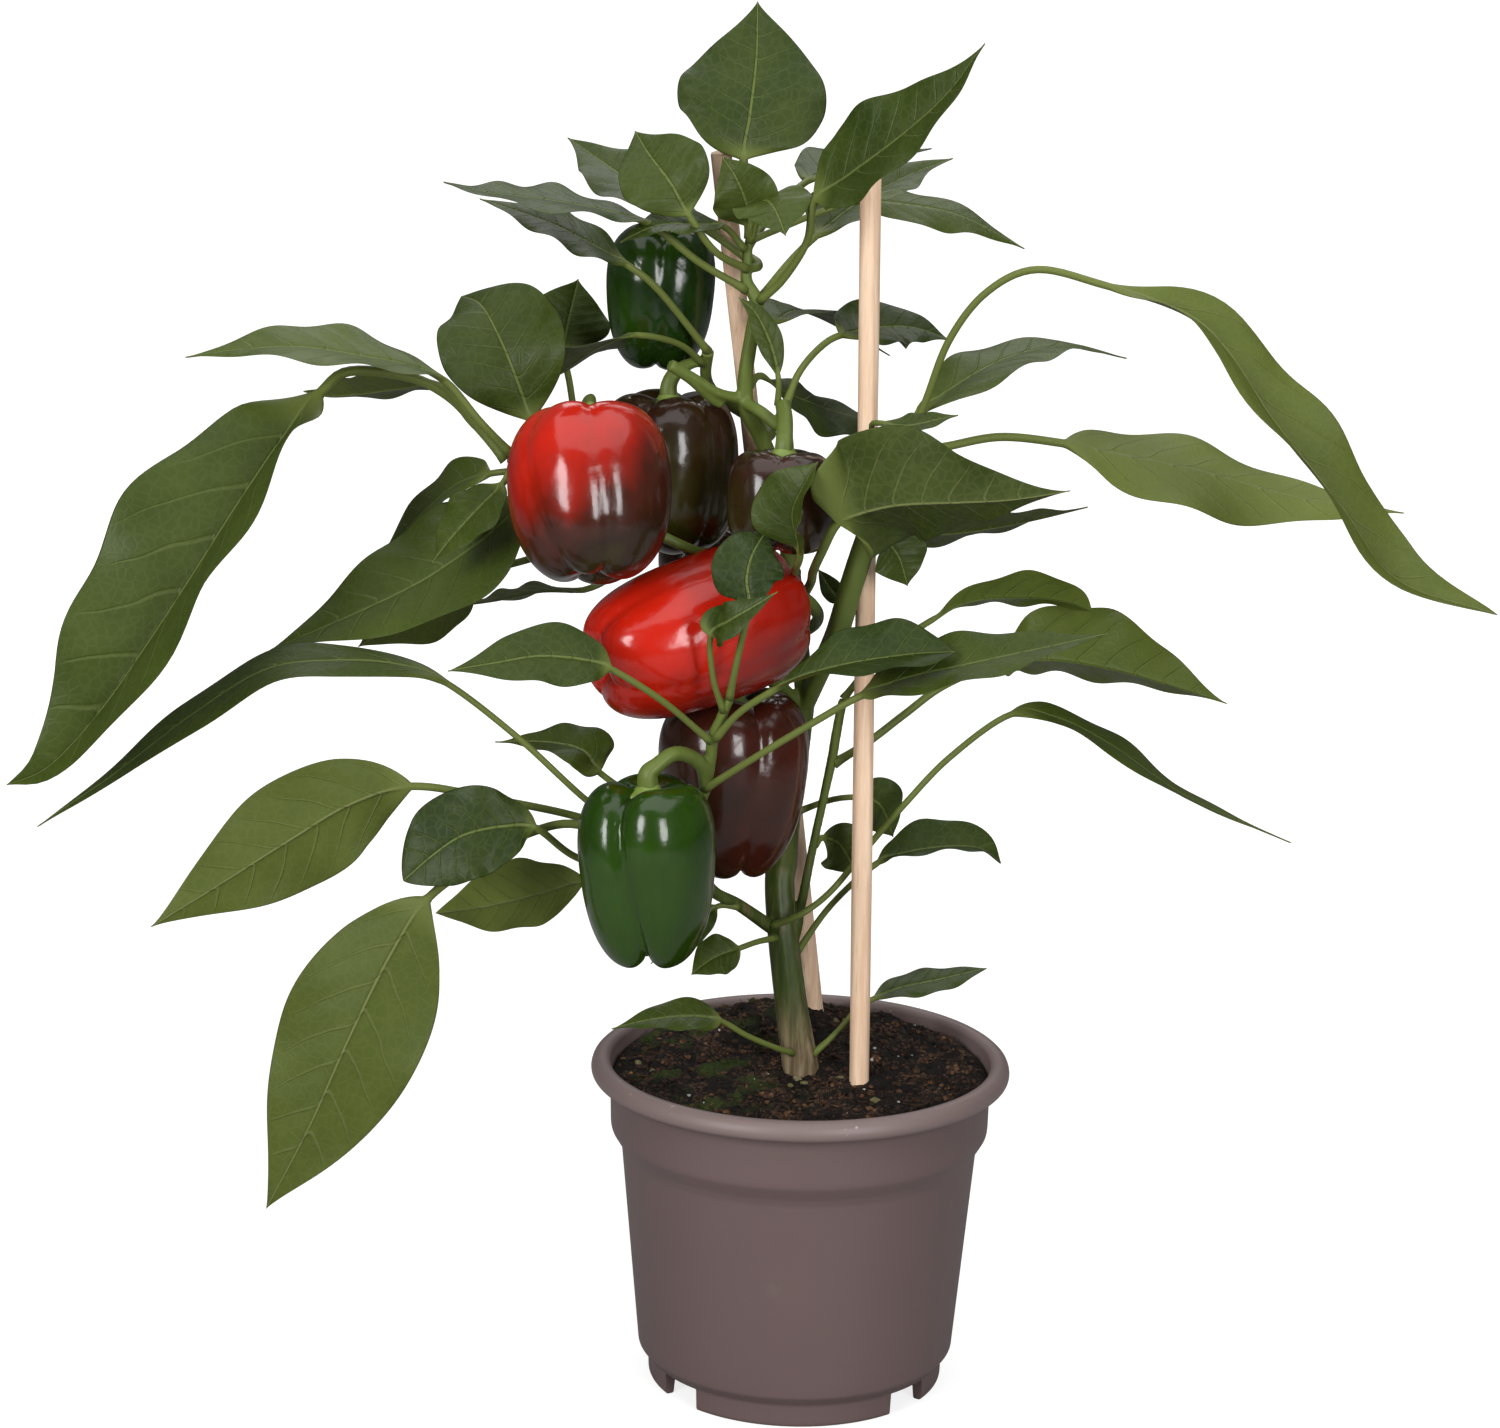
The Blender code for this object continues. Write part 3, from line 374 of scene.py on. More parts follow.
def leaf(blade, width, fold, peak, full, up_base, up_tip, route):
    """A leaf: its route from the stem to the tip, and its blade.

    blade is the route point where the blade begins, width its full width,
    fold the angle that each half is raised by, peak the place of the widest
    point, full how quickly the width falls away from there, and the two
    vectors are the way the upper side faces at the base and at the tip.
    """
    return dict(
        blade=blade, width=width, fold=fold, peak=peak, full=full, up=(up_base, up_tip), route=route
    )


def blade_profile(s, peak, fullness):
    """Half-width of a blade, 0 at its base and tip and 1 at its widest place."""
    s = np.clip(s, 0, 1)
    rising = (s / peak) ** (fullness * peak)
    return rising * ((1 - s) / (1 - peak)) ** (fullness * (1 - peak))


def leaf_axis(item):
    """Stations down a leaf: centre, side and up directions, blade share and place in mm."""
    curve = smooth_curve(item["route"])
    along = lengths_along(curve)
    base = along[PER_SPAN * item["blade"]]
    petiole = np.linspace(0, base, max(6, int(base / 3)), endpoint=False)
    s_blade = np.linspace(0, 1, BLADE_ROWS + 1)[:-1] ** ROW_SPREAD
    s_blade = np.r_[s_blade, LAST_ROW]
    distances = np.r_[petiole, base + s_blade * (along[-1] - base)]
    centre, tangent = at_lengths(curve, distances)
    s = np.r_[np.zeros(len(petiole)), s_blade]
    up = np.outer(1 - s, item["up"][0]) + np.outer(s, item["up"][1])
    up = unit(up - (up * tangent).sum(1)[:, None] * tangent)
    return centre, np.cross(tangent, up), up, s, distances, curve[-1]


def vein_phase(across_mm, s, half_max):
    """Whole numbers on the side veins: a vein climbs towards the tip as it runs outwards."""
    reach = np.abs(across_mm) / half_max
    start = s - VEIN_CLIMB * reach - VEIN_BEND * reach**2
    return VEINS * np.clip(start + 0.03, 0, 1) ** 0.9 + 0.22 * np.tanh(across_mm)


def leaf_body(item, seed, wave):
    """A closed leaf: half-width times the share across, raised by the fold, waves and swellings.

    On the blade the height over the midrib plane is |x| sin(fold), less a camber of
    share squared, plus waves that grow towards the margin, plus a swelling between
    each two side veins, less the midrib's groove on top and its rib below.
    """
    rng = np.random.default_rng(seed)
    centre, side, up, s, distances, tip = leaf_axis(item)
    stalk = PETIOLE_RADIUS + PETIOLE_SHARE * item["width"]
    stalk = stalk * (1 + 0.45 * np.exp(-distances / 4.0))
    half = item["width"] / 2 * blade_profile(s, item["peak"], item["full"])
    half = np.maximum(half, stalk * (1 - s) ** 2 + 0.25 * s)
    flat = soft_step(s, 0, FLATTENS_OVER)
    fold = np.radians(item["fold"]) * flat
    t = np.r_[ACROSS, ACROSS[-2:0:-1]][None, :]
    top = np.r_[np.ones(len(ACROSS)), -np.ones(len(ACROSS) - 2)][None, :]
    x = half[:, None] * t
    phase = vein_phase(x, s[:, None], item["width"] / 2)
    round_edge = np.sqrt(np.maximum(1 - t**2, 0))
    thick = stalk[:, None] * (1 - flat[:, None]) + BLADE_THICK * flat[:, None]
    height = top * thick * round_edge
    lift = (np.sqrt(t**2 + 0.0012) - 0.035) * half[:, None] * np.sin(fold)[:, None]
    cycles = rng.uniform(2.2, 3.4, 2)[:, None, None] * s[None, :, None]
    turns = 2 * np.pi * (cycles + rng.uniform(0, 1, 2)[:, None, None])
    ripple = np.where(t < 0, np.sin(turns[0]), np.sin(turns[1]))
    waves = WAVE * wave * half[:, None] * np.abs(t) ** 2.5 * ripple
    camber = CAMBER * half[:, None] * (0.35 - t**2)
    swell = np.sin(np.pi * phase) ** 2 * 4 * np.abs(t) * (1 - np.abs(t) ** 2)
    swell = SWELLING * half[:, None] * swell
    groove = np.exp(-((x / GROOVE_WIDTH) ** 2))
    rib = np.where(top > 0, -0.35, -0.75) * groove * (1 - 0.8 * s[:, None])
    height = height + lift + flat[:, None] * (waves + camber + swell + rib)
    sideways = (x * np.cos(fold)[:, None])[..., None] * side[:, None]
    rings = centre[:, None] + sideways + height[..., None] * up[:, None]
    numbers = {
        "across": x,
        "share": np.broadcast_to(t, x.shape),
        "down": np.broadcast_to(s[:, None], x.shape),
        "vein": phase,
        "petiole": np.broadcast_to(1 - flat[:, None], x.shape),
    }
    return rings, centre[0], tip, numbers


def leaf_mesh(name, item, seed, tone, wave):
    """A leaf's mesh: faces between top columns get material 0, those below get material 1."""
    rings, first, last, numbers = leaf_body(item, seed, wave)
    points, quads, triangles = close_grid(rings, first, last)
    numbers = {key: np.r_[values.ravel(), values.ravel()[[0, -1]]] for key, values in numbers.items()}
    numbers["across"][-2:] = 0
    numbers["tone"] = np.full(len(points), tone)
    mesh = make_mesh(name, points, quads, triangles, numbers)
    columns = rings.shape[1]
    upper = len(ACROSS) - 1
    column = np.r_[np.arange(len(quads)) % columns, np.arange(len(triangles)) % columns]
    mesh.polygons.foreach_set("material_index", (column >= upper).astype(np.int32))
    return mesh


# %% [markdown]
# The blade's upper side is dark and satin, with paler veins sunk into it. The lower
# side is paler and duller, and its veins stand out. Both materials read the same
# numbers from the mesh: the millimetres from the midrib and the side veins' phase,
# whose whole numbers are the veins. A network of small cells between the veins is a
# Voronoi pattern, which has just such walls.

# %% Leaf materials
LEAF_DARK, LEAF_LIGHT = (0.013, 0.027, 0.002), (0.084, 0.114, 0.014)
LEAF_VEIN = (0.110, 0.142, 0.036)
UNDER_DARK, UNDER_LIGHT = (0.022, 0.036, 0.002), (0.112, 0.144, 0.024)
UNDER_VEIN = (0.150, 0.172, 0.055)
PETIOLE_GREEN = (0.120, 0.150, 0.034)
CELL_SCALE, PATCH_SCALE, FINE_SCALE = 260.0, 45.0, 900.0  # features for each metre


def vein_masks(g):
    """Masks of the midrib and of the side veins, thinner towards the tip and the margin."""
    down, across = g.attribute("down"), abs(g.attribute("across"))
    share = abs(g.attribute("share"))
    width = 1.15 - 0.75 * down
    midrib = 1.0 - (across / width).smooth(0.35, 1.0)
    drift = g.noise(38.0, 1.0) + g.attribute("tone")
    phase = (g.attribute("vein") + drift * 0.5).math("FRACT")
    away = 0.5 - abs(phase - 0.5)
    side = 1.0 - away.smooth(0.012, 0.075 - 0.045 * share)
    side = side * (1.0 - share.smooth(0.70, 0.97)) * (1.0 - down.smooth(0.80, 0.95))
    return midrib, side


def vein_network(g, scale):
    """Walls of small cells between the veins."""
    inputs = {"Vector": g.place(), "Scale": scale}
    cells = g.node("ShaderNodeTexVoronoi", {"feature": "DISTANCE_TO_EDGE"}, inputs)
    return 1.0 - cells.smooth(0.0, 0.16)


def leaf_material(name, dark, light, vein, raised, roughness):
    """A side of the blade: tone and soft patches set its green, veins lie on it."""
    g = Graph(name)
    midrib, side = vein_masks(g)
    network = vein_network(g, CELL_SCALE)
    petiole = g.attribute("petiole")
    patches = g.noise(PATCH_SCALE, 3.0)
    tone = (g.attribute("tone") + (patches - 0.5) * 0.45).clamp()
    colour = g.mix(tone, dark, light)
    colour = g.mix(network * 0.10 + side * 0.32, colour, vein)
    colour = g.mix(midrib * 0.85, colour, vein)
    colour = g.mix(petiole, colour, PETIOLE_GREEN)
    veins = (midrib * 0.8 + side * 0.8 + network * 0.10) * (1.0 - petiole)
    fine = g.noise(FINE_SCALE, 2.0)
    height = veins * raised + fine * 0.03
    rough = roughness + (patches - 0.5) * 0.12
    return g.finish(
        Base_Color=colour, Roughness=rough, Normal=g.bump(height, 0.0005, 0.8), Specular_IOR_Level=0.2
    )


leaf_top = leaf_material("leaf upper side", LEAF_DARK, LEAF_LIGHT, LEAF_VEIN, -1.0, 0.44)
leaf_under = leaf_material("leaf lower side", UNDER_DARK, UNDER_LIGHT, UNDER_VEIN, 1.0, 0.55)
print("leaf materials:", leaf_top.name, "and", leaf_under.name)

# %% [markdown]
# ## Where the leaves are
#
# Each leaf has its own route through the air, because a plant's leaves all turn to
# the light in their own way. The widths and routes are those of the solid leaves,
# so each fine leaf lies where its solid does. The youngest leaves at the end of the
# table are too small to have a solid.

# %% Routes of the leaves
LEAVES = {
    # crown
    "leaf_crown_1": leaf(1, 58, 8, 0.36, 2.1, (0, -1, 0.25), (0, -1, 0.35), [
        (-26, 0, 467), (-29, 0, 497), (-27, 3, 513), (-25, 14, 534), (-25, 22, 556),
    ]),
    "leaf_crown_2": leaf(3, 42, 20, 0.34, 2.2, (-0.3, -0.75, 0.6), (-0.35, -0.6, 0.7), [
        (-22, -2, 443), (-13, -8, 452), (-4, -18, 468), (-1, -24, 484), (13, -33, 496),
        (31, -43, 511), (47, -50, 527), (60, -55, 546),
    ]),
    "leaf_crown_3": leaf(2, 40, 15, 0.4, 2.3, (-0.1, -0.3, 0.95), (-0.1, -0.3, 0.95), [
        (-23, 1, 442), (-11, 14, 456), (-1, 26, 465), (13, 42, 475), (33, 60, 485), (54, 70, 493),
    ]),
    "leaf_crown_4": leaf(3, 27, -4, 0.38, 2.3, (0.2, -0.4, 0.87), (0.25, -0.4, 0.87), [
        (-26, 0, 466), (-15, 6, 470), (1, 14, 476), (15, 18, 480), (34, 19, 479), (56, 28, 474),
        (82, 34, 461),
    ]),
    "leaf_crown_5": leaf(2, 36, 15, 0.4, 2.3, (-0.1, -0.1, 1), (-0.1, -0.1, 1), [
        (-27, 1, 463), (-17, 24, 475), (-5, 52, 484), (13, 88, 490), (33, 112, 490), (47, 126, 492),
    ]),
    "leaf_crown_6": leaf(2, 38, 12, 0.4, 2.3, (0.2, -0.6, 0.8), (0.2, -0.6, 0.8), [
        (-27, 1, 459), (-40, 7, 467), (-54, 14, 475), (-70, 30, 482), (-87, 50, 491),
        (-101, 62, 499),
    ]),
    "leaf_crown_7": leaf(2, 36, 8, 0.42, 2.3, (0, -0.95, 0.3), (-0.1, -0.9, 0.4), [
        (-27, -1, 455), (-39, -14, 463), (-49, -19, 477), (-56, -19, 489), (-65, -8, 499),
        (-71, 2, 507),
    ]),
    "leaf_crown_8": leaf(1, 32, 8, 0.35, 2.3, (0, -0.6, 0.8), (0, -0.8, 0.6), [
        (-26, -1, 466), (-21, -12, 481), (-18, -19, 482), (-15, -27, 478), (-12, -36, 472),
    ]),
    "leaf_crown_9": leaf(2, 40, 5, 0.45, 2.4, (0, -0.17, 1), (0, -0.17, 1), [
        (-27, -1, 447), (-45, -8, 458), (-64, -16, 473), (-83, -22, 479), (-105, -28, 483),
        (-127, -34, 486), (-141, -38, 490),
    ]),
    "leaf_crown_10": leaf(2, 34, 6, 0.4, 2.5, (0.1, -0.3, 0.95), (0.1, -0.3, 0.95), [
        (-42, 12, 421), (-61, 0, 446), (-73, -4, 456), (-87, -6, 464), (-103, -8, 472),
        (-130, -8, 481),
    ]),
    # upper
    "leaf_upper_1": leaf(1, 11, 8, 0.45, 2.4, (0.3, -0.9, 0.2), (0.3, -0.9, 0.2), [
        (-14, -11, 404), (-14, -14, 415), (-17, -13, 427), (-23, -11, 439), (-30, -8, 445),
    ]),
    "leaf_upper_2": leaf(1, 30, 10, 0.4, 2.3, (0, -0.15, 1), (0, -0.15, 1), [
        (-24, 1, 436), (-17, 11, 433), (-6, 40, 434), (15, 71, 421), (31, 81, 411),
    ]),
    "leaf_upper_3": leaf(3, 34, 8, 0.38, 2.2, (0, -0.5, 0.85), (0, -0.5, 0.85), [
        (-11, -12, 404), (-6, -6, 416), (2, 8, 424), (10, 15, 428), (26, 32, 429), (40, 38, 428),
        (54, 42, 423),
    ]),
    "leaf_upper_4": leaf(1, 34, -6, 0.45, 2.4, (0, -0.5, 0.85), (0, -0.5, 0.85), [
        (-26, 3, 408), (-21, 10, 412), (-10, 24, 403), (6, 36, 395), (29, 52, 387),
    ]),
    # right
    "leaf_right_1": leaf(5, 38, 30, 0.52, 2, (0.2, -0.5, 0.85), (0.7, -0.5, 0.45), [
        (36, -14, 388), (43, -18, 408), (51, -24, 432), (64, -30, 451), (82, -36, 461),
        (106, -43, 457), (137, -54, 448), (153, -62, 435), (170, -68, 411), (196, -74, 380),
        (218, -77, 353), (256, -80, 341),
    ]),
    "leaf_right_2": leaf(1, 36, 6, 0.33, 2.6, (-0.3, -0.25, 0.9), (0, -0.2, 0.97), [
        (33, -12, 383), (40, -5, 400), (50, -4, 408), (66, 6, 417), (82, 18, 422), (101, 32, 423),
        (125, 44, 417),
    ]),
    "leaf_right_3": leaf(3, 55, -5, 0.36, 2.3, (0, -0.4, 0.9), (0.1, -0.38, 0.9), [
        (36, -13, 387), (51, -6, 388), (73, 2, 391), (98, 8, 388), (121, 14, 383), (153, 20, 376),
        (194, 26, 365), (237, 30, 359),
    ]),
    # centre
    "leaf_centre_1": leaf(4, 64, 28, 0.19, 1.9, (0, 0.88, 0.47), (0, 0.9, 0.4), [
        (-5, 16, 319), (0, -8, 333), (1, -38, 344), (4, -57, 355), (10, -63, 368), (19, -65, 372),
        (33, -69, 376), (55, -72, 378), (74, -75, 380), (96, -76, 384),
    ]),
    "leaf_centre_2": leaf(3, 34, 32, 0.45, 2.2, (-0.75, -0.6, 0.2), (-0.75, -0.6, 0.2), [
        (-6, 16, 325), (-5, -10, 338), (-6, -44, 345), (-4, -64, 356), (-7, -68, 371),
        (-4, -70, 381), (2, -70, 392),
    ]),
    "leaf_centre_3": leaf(2, 28, 6, 0.45, 2.1, (0, -1, 0.1), (0, -1, 0.1), [
        (-30, -59, 298), (-27, -66, 315), (-23, -68, 336), (-24, -66, 346), (-22, -62, 355),
        (-17, -56, 363),
    ]),
    "leaf_centre_4": leaf(2, 17, 8, 0.2, 1.8, (0, -0.75, 0.6), (0, -0.75, 0.6), [
        (-32, -59, 293), (-36, -65, 307), (-37, -70, 325), (-30, -76, 332), (-21, -78, 338),
        (-12, -78, 344),
    ]),
    "leaf_centre_5": leaf(1, 44, 8, 0.35, 2.4, (0, 0.55, 0.85), (0, 0.4, 0.92), [
        (24, -12, 356), (34, -2, 354), (55, 14, 350), (83, 24, 353), (111, 36, 358),
    ]),
    "leaf_centre_6": leaf(1, 24, 12, 0.4, 2.2, (0.3, -0.9, 0.3), (0.3, -0.9, 0.3), [
        (21, -12, 350), (28, -14, 352), (34, -15, 346), (38, -14, 334),
    ]),
    # left
    "leaf_left_1": leaf(2, 41, 10, 0.42, 2.6, (0.05, -0.2, 0.98), (0, -0.3, 0.95), [
        (-117, -18, 384), (-129, -20, 397), (-141, -24, 412), (-154, -30, 419), (-171, -36, 423),
        (-195, -42, 427), (-217, -45, 426), (-238, -46, 423),
    ]),
    "leaf_left_2": leaf(2, 50, 6, 0.45, 2.2, (0, -1, 0.15), (-0.1, -0.6, 0.75), [
        (-103, -12, 375), (-107, -3, 385), (-110, -2, 394), (-118, -2, 416), (-125, 6, 429),
        (-132, 18, 437), (-141, 34, 438),
    ]),
    "leaf_left_3": leaf(3, 34, 10, 0.4, 2.3, (0.2, -0.95, 0.1), (0.2, -0.95, 0.1), [
        (-92, -10, 369), (-94, 24, 383), (-98, 42, 402), (-101, 48, 415), (-99, 52, 429),
        (-96, 58, 443),
    ]),
    "leaf_left_4": leaf(2, 24, 5, 0.4, 2.3, (0, -0.1, 1), (0, -0.1, 1), [
        (-44, 14, 416), (-53, 2, 425), (-68, -11, 430), (-79, -8, 427), (-92, 15, 417),
        (-109, 31, 403),
    ]),
    "leaf_left_5": leaf(2, 28, 14, 0.45, 2, (0, 0.5, 0.86), (0, 0.5, 0.86), [
        (-112, -14, 379), (-133, 4, 391), (-147, 14, 405), (-164, 26, 402), (-181, 36, 398),
        (-195, 42, 396), (-206, 46, 397),
    ]),
    "leaf_left_6": leaf(5, 76, 38, 0.42, 2, (-0.6, -0.75, 0.25), (-0.5, -0.8, 0.2), [
        (-119, -14, 381), (-129, -12, 392), (-141, -14, 405), (-156, -18, 413), (-178, -26, 416),
        (-188, -34, 409), (-201, -46, 393), (-216, -60, 370), (-232, -72, 344), (-246, -82, 322),
        (-264, -88, 296), (-284, -90, 274), (-301, -90, 266),
    ]),
    "leaf_left_7": leaf(1, 28, 10, 0.4, 2, (-0.2, -0.6, 0.75), (-0.2, -0.6, 0.75), [
        (-108, -13, 377), (-125, -12, 375), (-139, 4, 368), (-152, 18, 356), (-163, 28, 344),
        (-174, 36, 330),
    ]),
    "leaf_left_8": leaf(2, 50, 10, 0.36, 2.2, (-0.15, -0.7, 0.7), (-0.25, -0.65, 0.7), [
        (-87, -10, 366), (-95, -4, 358), (-110, -10, 363), (-131, -16, 347), (-152, -22, 333),
        (-178, -30, 321), (-209, -36, 308),
    ]),
    "leaf_left_9": leaf(3, 42, 8, 0.4, 2.3, (0.2, 0.75, 0.6), (0.2, 0.75, 0.6), [
        (-79, -14, 362), (-88, 8, 350), (-109, 28, 335), (-136, 36, 325), (-152, 36, 315),
        (-167, 34, 305), (-183, 32, 295),
    ]),
    # lower left
    "leaf_lower_left_1": leaf(4, 26, 2, 0.36, 2, (-0.1, -0.25, 0.95), (-0.4, -0.45, 0.8), [
        (-44, -42, 236), (-65, -36, 240), (-83, -40, 250), (-111, -45, 277), (-138, -49, 299),
        (-156, -53, 307), (-179, -56, 309), (-206, -60, 306), (-234, -66, 289), (-264, -72, 266),
        (-293, -76, 246),
    ]),
    "leaf_lower_left_2": leaf(2, 27, 10, 0.35, 2.1, (0, -0.75, 0.65), (0, -0.7, 0.7), [
        (-37, -58, 281), (-55, -73, 300), (-74, -82, 314), (-83, -86, 318), (-100, -90, 320),
        (-116, -94, 318), (-134, -96, 315),
    ]),
    "leaf_lower_left_3": leaf(2, 28, 15, 0.25, 2.2, (0.2, -0.35, 0.9), (0.1, -0.35, 0.9), [
        (-42, -42, 241), (-65, -31, 250), (-81, -28, 260), (-88, -26, 268), (-102, -22, 270),
        (-123, -18, 269),
    ]),
    "leaf_lower_left_4": leaf(4, 46, 10, 0.4, 2.3, (0, 0.97, 0.1), (0, 0.97, 0.1), [
        (-44, -38, 230), (-65, -30, 234), (-90, -28, 242), (-119, -40, 251), (-152, -44, 257),
        (-176, -50, 251), (-199, -58, 238), (-225, -66, 222), (-251, -72, 206),
    ]),
    "leaf_lower_left_5": leaf(3, 37, 6, 0.5, 1.7, (-0.1, -0.9, 0.4), (-0.1, -0.9, 0.4), [
        (-41, -31, 220), (-65, -22, 217), (-89, -38, 228), (-104, -54, 244), (-116, -60, 246),
        (-131, -63, 243), (-143, -65, 235), (-154, -66, 225),
    ]),
    "leaf_lower_left_6": leaf(2, 34, 10, 0.45, 2, (0, 0.9, 0.35), (0, 0.9, 0.35), [
        (-39, -26, 215), (-65, -24, 213), (-86, -28, 216), (-104, -30, 211), (-124, -32, 206),
        (-145, -34, 203),
    ]),
    "leaf_lower_left_7": leaf(5, 58, 8, 0.42, 2.1, (0.1, 0.97, -0.1), (0.1, 0.97, -0.1), [
        (-43, -38, 226), (-64, -38, 232), (-89, -40, 242), (-107, -43, 239), (-123, -49, 231),
        (-145, -56, 216), (-159, -61, 195), (-175, -66, 162), (-191, -67, 125), (-209, -64, 89),
    ]),
    # lower right
    "leaf_lower_right_1": leaf(2, 34, 24, 0.6, 2.3, (0, -0.3, 0.93), (0, -0.5, 0.85), [
        (-35, -58, 282), (-26, -65, 294), (-14, -72, 304), (-3, -76, 311), (15, -79, 317),
        (38, -79, 321), (55, -77, 322),
    ]),
    "leaf_lower_right_2": leaf(3, 35, 14, 0.35, 2.2, (0, -0.35, 0.93), (0, -0.35, 0.93), [
        (-39, -50, 260), (-18, -62, 277), (5, -71, 294), (20, -75, 304), (36, -77, 311),
        (59, -77, 317), (87, -73, 323), (113, -66, 328),
    ]),
    "leaf_lower_right_3": leaf(4, 50, 34, 0.33, 2.1, (0, 0.8, 0.5), (0.1, 0.8, 0.5), [
        (11, 6, 257), (25, 12, 265), (39, 18, 275), (55, 24, 286), (77, 30, 294), (98, 34, 295),
        (122, 38, 291), (148, 40, 284), (171, 40, 277),
    ]),
    "leaf_lower_right_4": leaf(2, 27, 20, 0.6, 2.3, (0, 0.65, 0.7), (0, 0.65, 0.7), [
        (14, 4, 284), (28, 8, 301), (48, 11, 315), (64, 14, 323), (87, 18, 324), (103, 20, 322),
        (113, 22, 318),
    ]),
    "leaf_lower_right_5": leaf(6, 29, 6, 0.3, 2.2, (0.1, -0.14, 0.95), (0.55, 0, 0.83), [
        (-13, -2, 191), (-1, -8, 198), (11, -1, 206), (25, 7, 222), (40, 10, 240), (58, 14, 259),
        (82, 18, 276), (101, 20, 274), (123, 20, 263), (154, 18, 243), (196, 10, 227),
    ]),
    "leaf_lower_right_6": leaf(2, 28, 30, 0.5, 2, (0, -0.3, 0.95), (0.2, -0.3, 0.93), [
        (-3, 5, 177), (11, 9, 197), (29, 12, 214), (41, 15, 218), (57, 18, 220), (71, 20, 219),
        (80, 20, 213),
    ]),
    "leaf_lower_right_7": leaf(3, 18, 4, 0.45, 2, (0, -0.3, 0.95), (0, -0.3, 0.95), [
        (5, -2, 137), (15, 2, 146), (23, 5, 155), (29, 8, 158), (40, 14, 161), (56, 20, 163),
        (76, 28, 166),
    ]),
    "leaf_lower_right_8": leaf(3, 18, 10, 0.3, 2, (0, -0.5, 0.87), (0, -0.5, 0.87), [
        (-3, -6, 139), (-10, -12, 143), (-22, -18, 150), (-32, -22, 157), (-44, -26, 160),
        (-60, -32, 160), (-75, -38, 158),
    ]),
    # young leaves
    "leaf_small_1": leaf(1, 26, 8, 0.42, 2.3, (0, -0.95, 0.3), (0, -0.95, 0.3), [
        (-26, -2, 468), (-26, -6, 472), (-28, -12, 483), (-32, -14, 492), (-37, -12, 499),
    ]),
    "leaf_small_2": leaf(1, 22, 10, 0.4, 2.3, (0, -0.35, 0.94), (0, -0.35, 0.94), [
        (-28, -2, 463), (-36, -8, 472), (-45, -13, 473), (-60, -18, 473), (-75, -24, 467),
    ]),
    "leaf_small_3": leaf(3, 14, 10, 0.4, 2.3, (0, -0.45, 0.9), (0, -0.45, 0.9), [
        (28, -19, 375), (24, -30, 392), (22, -44, 402), (26, -52, 404), (36, -57, 404),
        (54, -60, 409),
    ]),
    "leaf_small_4": leaf(1, 26, 8, 0.4, 2.3, (-0.5, -0.7, 0.5), (-0.5, -0.7, 0.5), [
        (-116, -20, 380), (-119, -27, 374), (-127, -33, 366), (-137, -38, 355), (-145, -42, 345),
    ]),
    "leaf_small_5": leaf(2, 30, 8, 0.4, 2.3, (0, 0.3, 0.95), (0, 0.3, 0.95), [
        (-61, -16, 353), (-76, 10, 333), (-90, 26, 322), (-109, 34, 319), (-128, 38, 314),
        (-145, 40, 311),
    ]),
    "leaf_small_6": leaf(1, 9, 10, 0.45, 2.2, (-0.3, -0.9, 0.3), (-0.3, -0.9, 0.3), [
        (16, -8, 327), (14, 4, 324), (9, 14, 326), (3, 22, 333),
    ]),
    "leaf_small_7": leaf(2, 23, 8, 0.4, 2.2, (0.3, -0.8, 0.5), (0.5, -0.8, 0.2), [
        (-4, 15, 234), (10, 17, 239), (21, 18, 240), (30, 22, 236), (36, 28, 221),
    ]),
    "leaf_small_8": leaf(1, 22, 6, 0.5, 2, (0, -0.95, 0.3), (0, -0.95, 0.3), [
        (4, 6, 223), (7, 10, 225), (14, 12, 222), (21, 14, 210),
    ]),
    "leaf_small_9": leaf(2, 18, 8, 0.4, 2, (-0.1, -0.8, 0.6), (-0.1, -0.8, 0.6), [
        (-11, -5, 187), (-18, -14, 188), (-25, -20, 187), (-35, -24, 184), (-44, -28, 178),
    ]),
    "leaf_small_10": leaf(1, 13, 8, 0.4, 2.3, (-0.2, -0.9, 0.3), (-0.2, -0.9, 0.3), [
        (-26, -13, 202), (-34, -16, 203), (-41, -24, 199), (-49, -30, 191), (-60, -34, 184),
    ]),
}
print("leaf routes:", len(LEAVES))

# %% [markdown]
# The big leaves get a tone of their own, from dark green at 0 to light green at 1.
# The tones of leaf_left_7 and leaf_lower_left_6 are raised as painted light, which
# lightens them where they lie in shade. The others get a dark to middle tone that
# follows from their place in the list; its base is raised a little as painted light,
# for leaves that face away from the lamps.
# A few long leaves have rolled over, so that their lower side faces up, and one of
# them is wavier than the rest.

# %% Make the leaves
# leaf_left_7 and leaf_lower_left_6: tones raised as painted light, lightening their shaded places
LEAF_TONES_WITH_PAINTED_LIGHT = {
    "leaf_crown_1": 0.20, "leaf_crown_2": 0.20, "leaf_left_1": 0.6, "leaf_left_6": 0.36,
    "leaf_left_8": 0.44, "leaf_left_2": 0.26, "leaf_lower_left_1": 0.3, "leaf_lower_left_2": 0.2,
    "leaf_lower_left_4": 0.58, "leaf_lower_left_5": 0.10, "leaf_lower_left_6": 1.0,
    "leaf_lower_left_7": 0.50, "leaf_right_1": 0.66, "leaf_right_3": 0.95, "leaf_centre_1": 0.12,
    "leaf_centre_2": 0.35, "leaf_centre_3": 0.0, "leaf_lower_right_1": 0.10,
    "leaf_lower_right_2": 0.35, "leaf_lower_right_3": 0.95, "leaf_lower_right_4": 0.85,
    "leaf_lower_right_5": 0.5, "leaf_left_7": 0.55,
}
USUAL_WAVE, WAVY = 1.2, {"leaf_right_1": 2.2}
TURNED = ("leaf_right_1", "leaf_right_3", "leaf_lower_right_3", "leaf_lower_right_4")
SMALL = [name for name in LEAVES if name.startswith("leaf_small")]
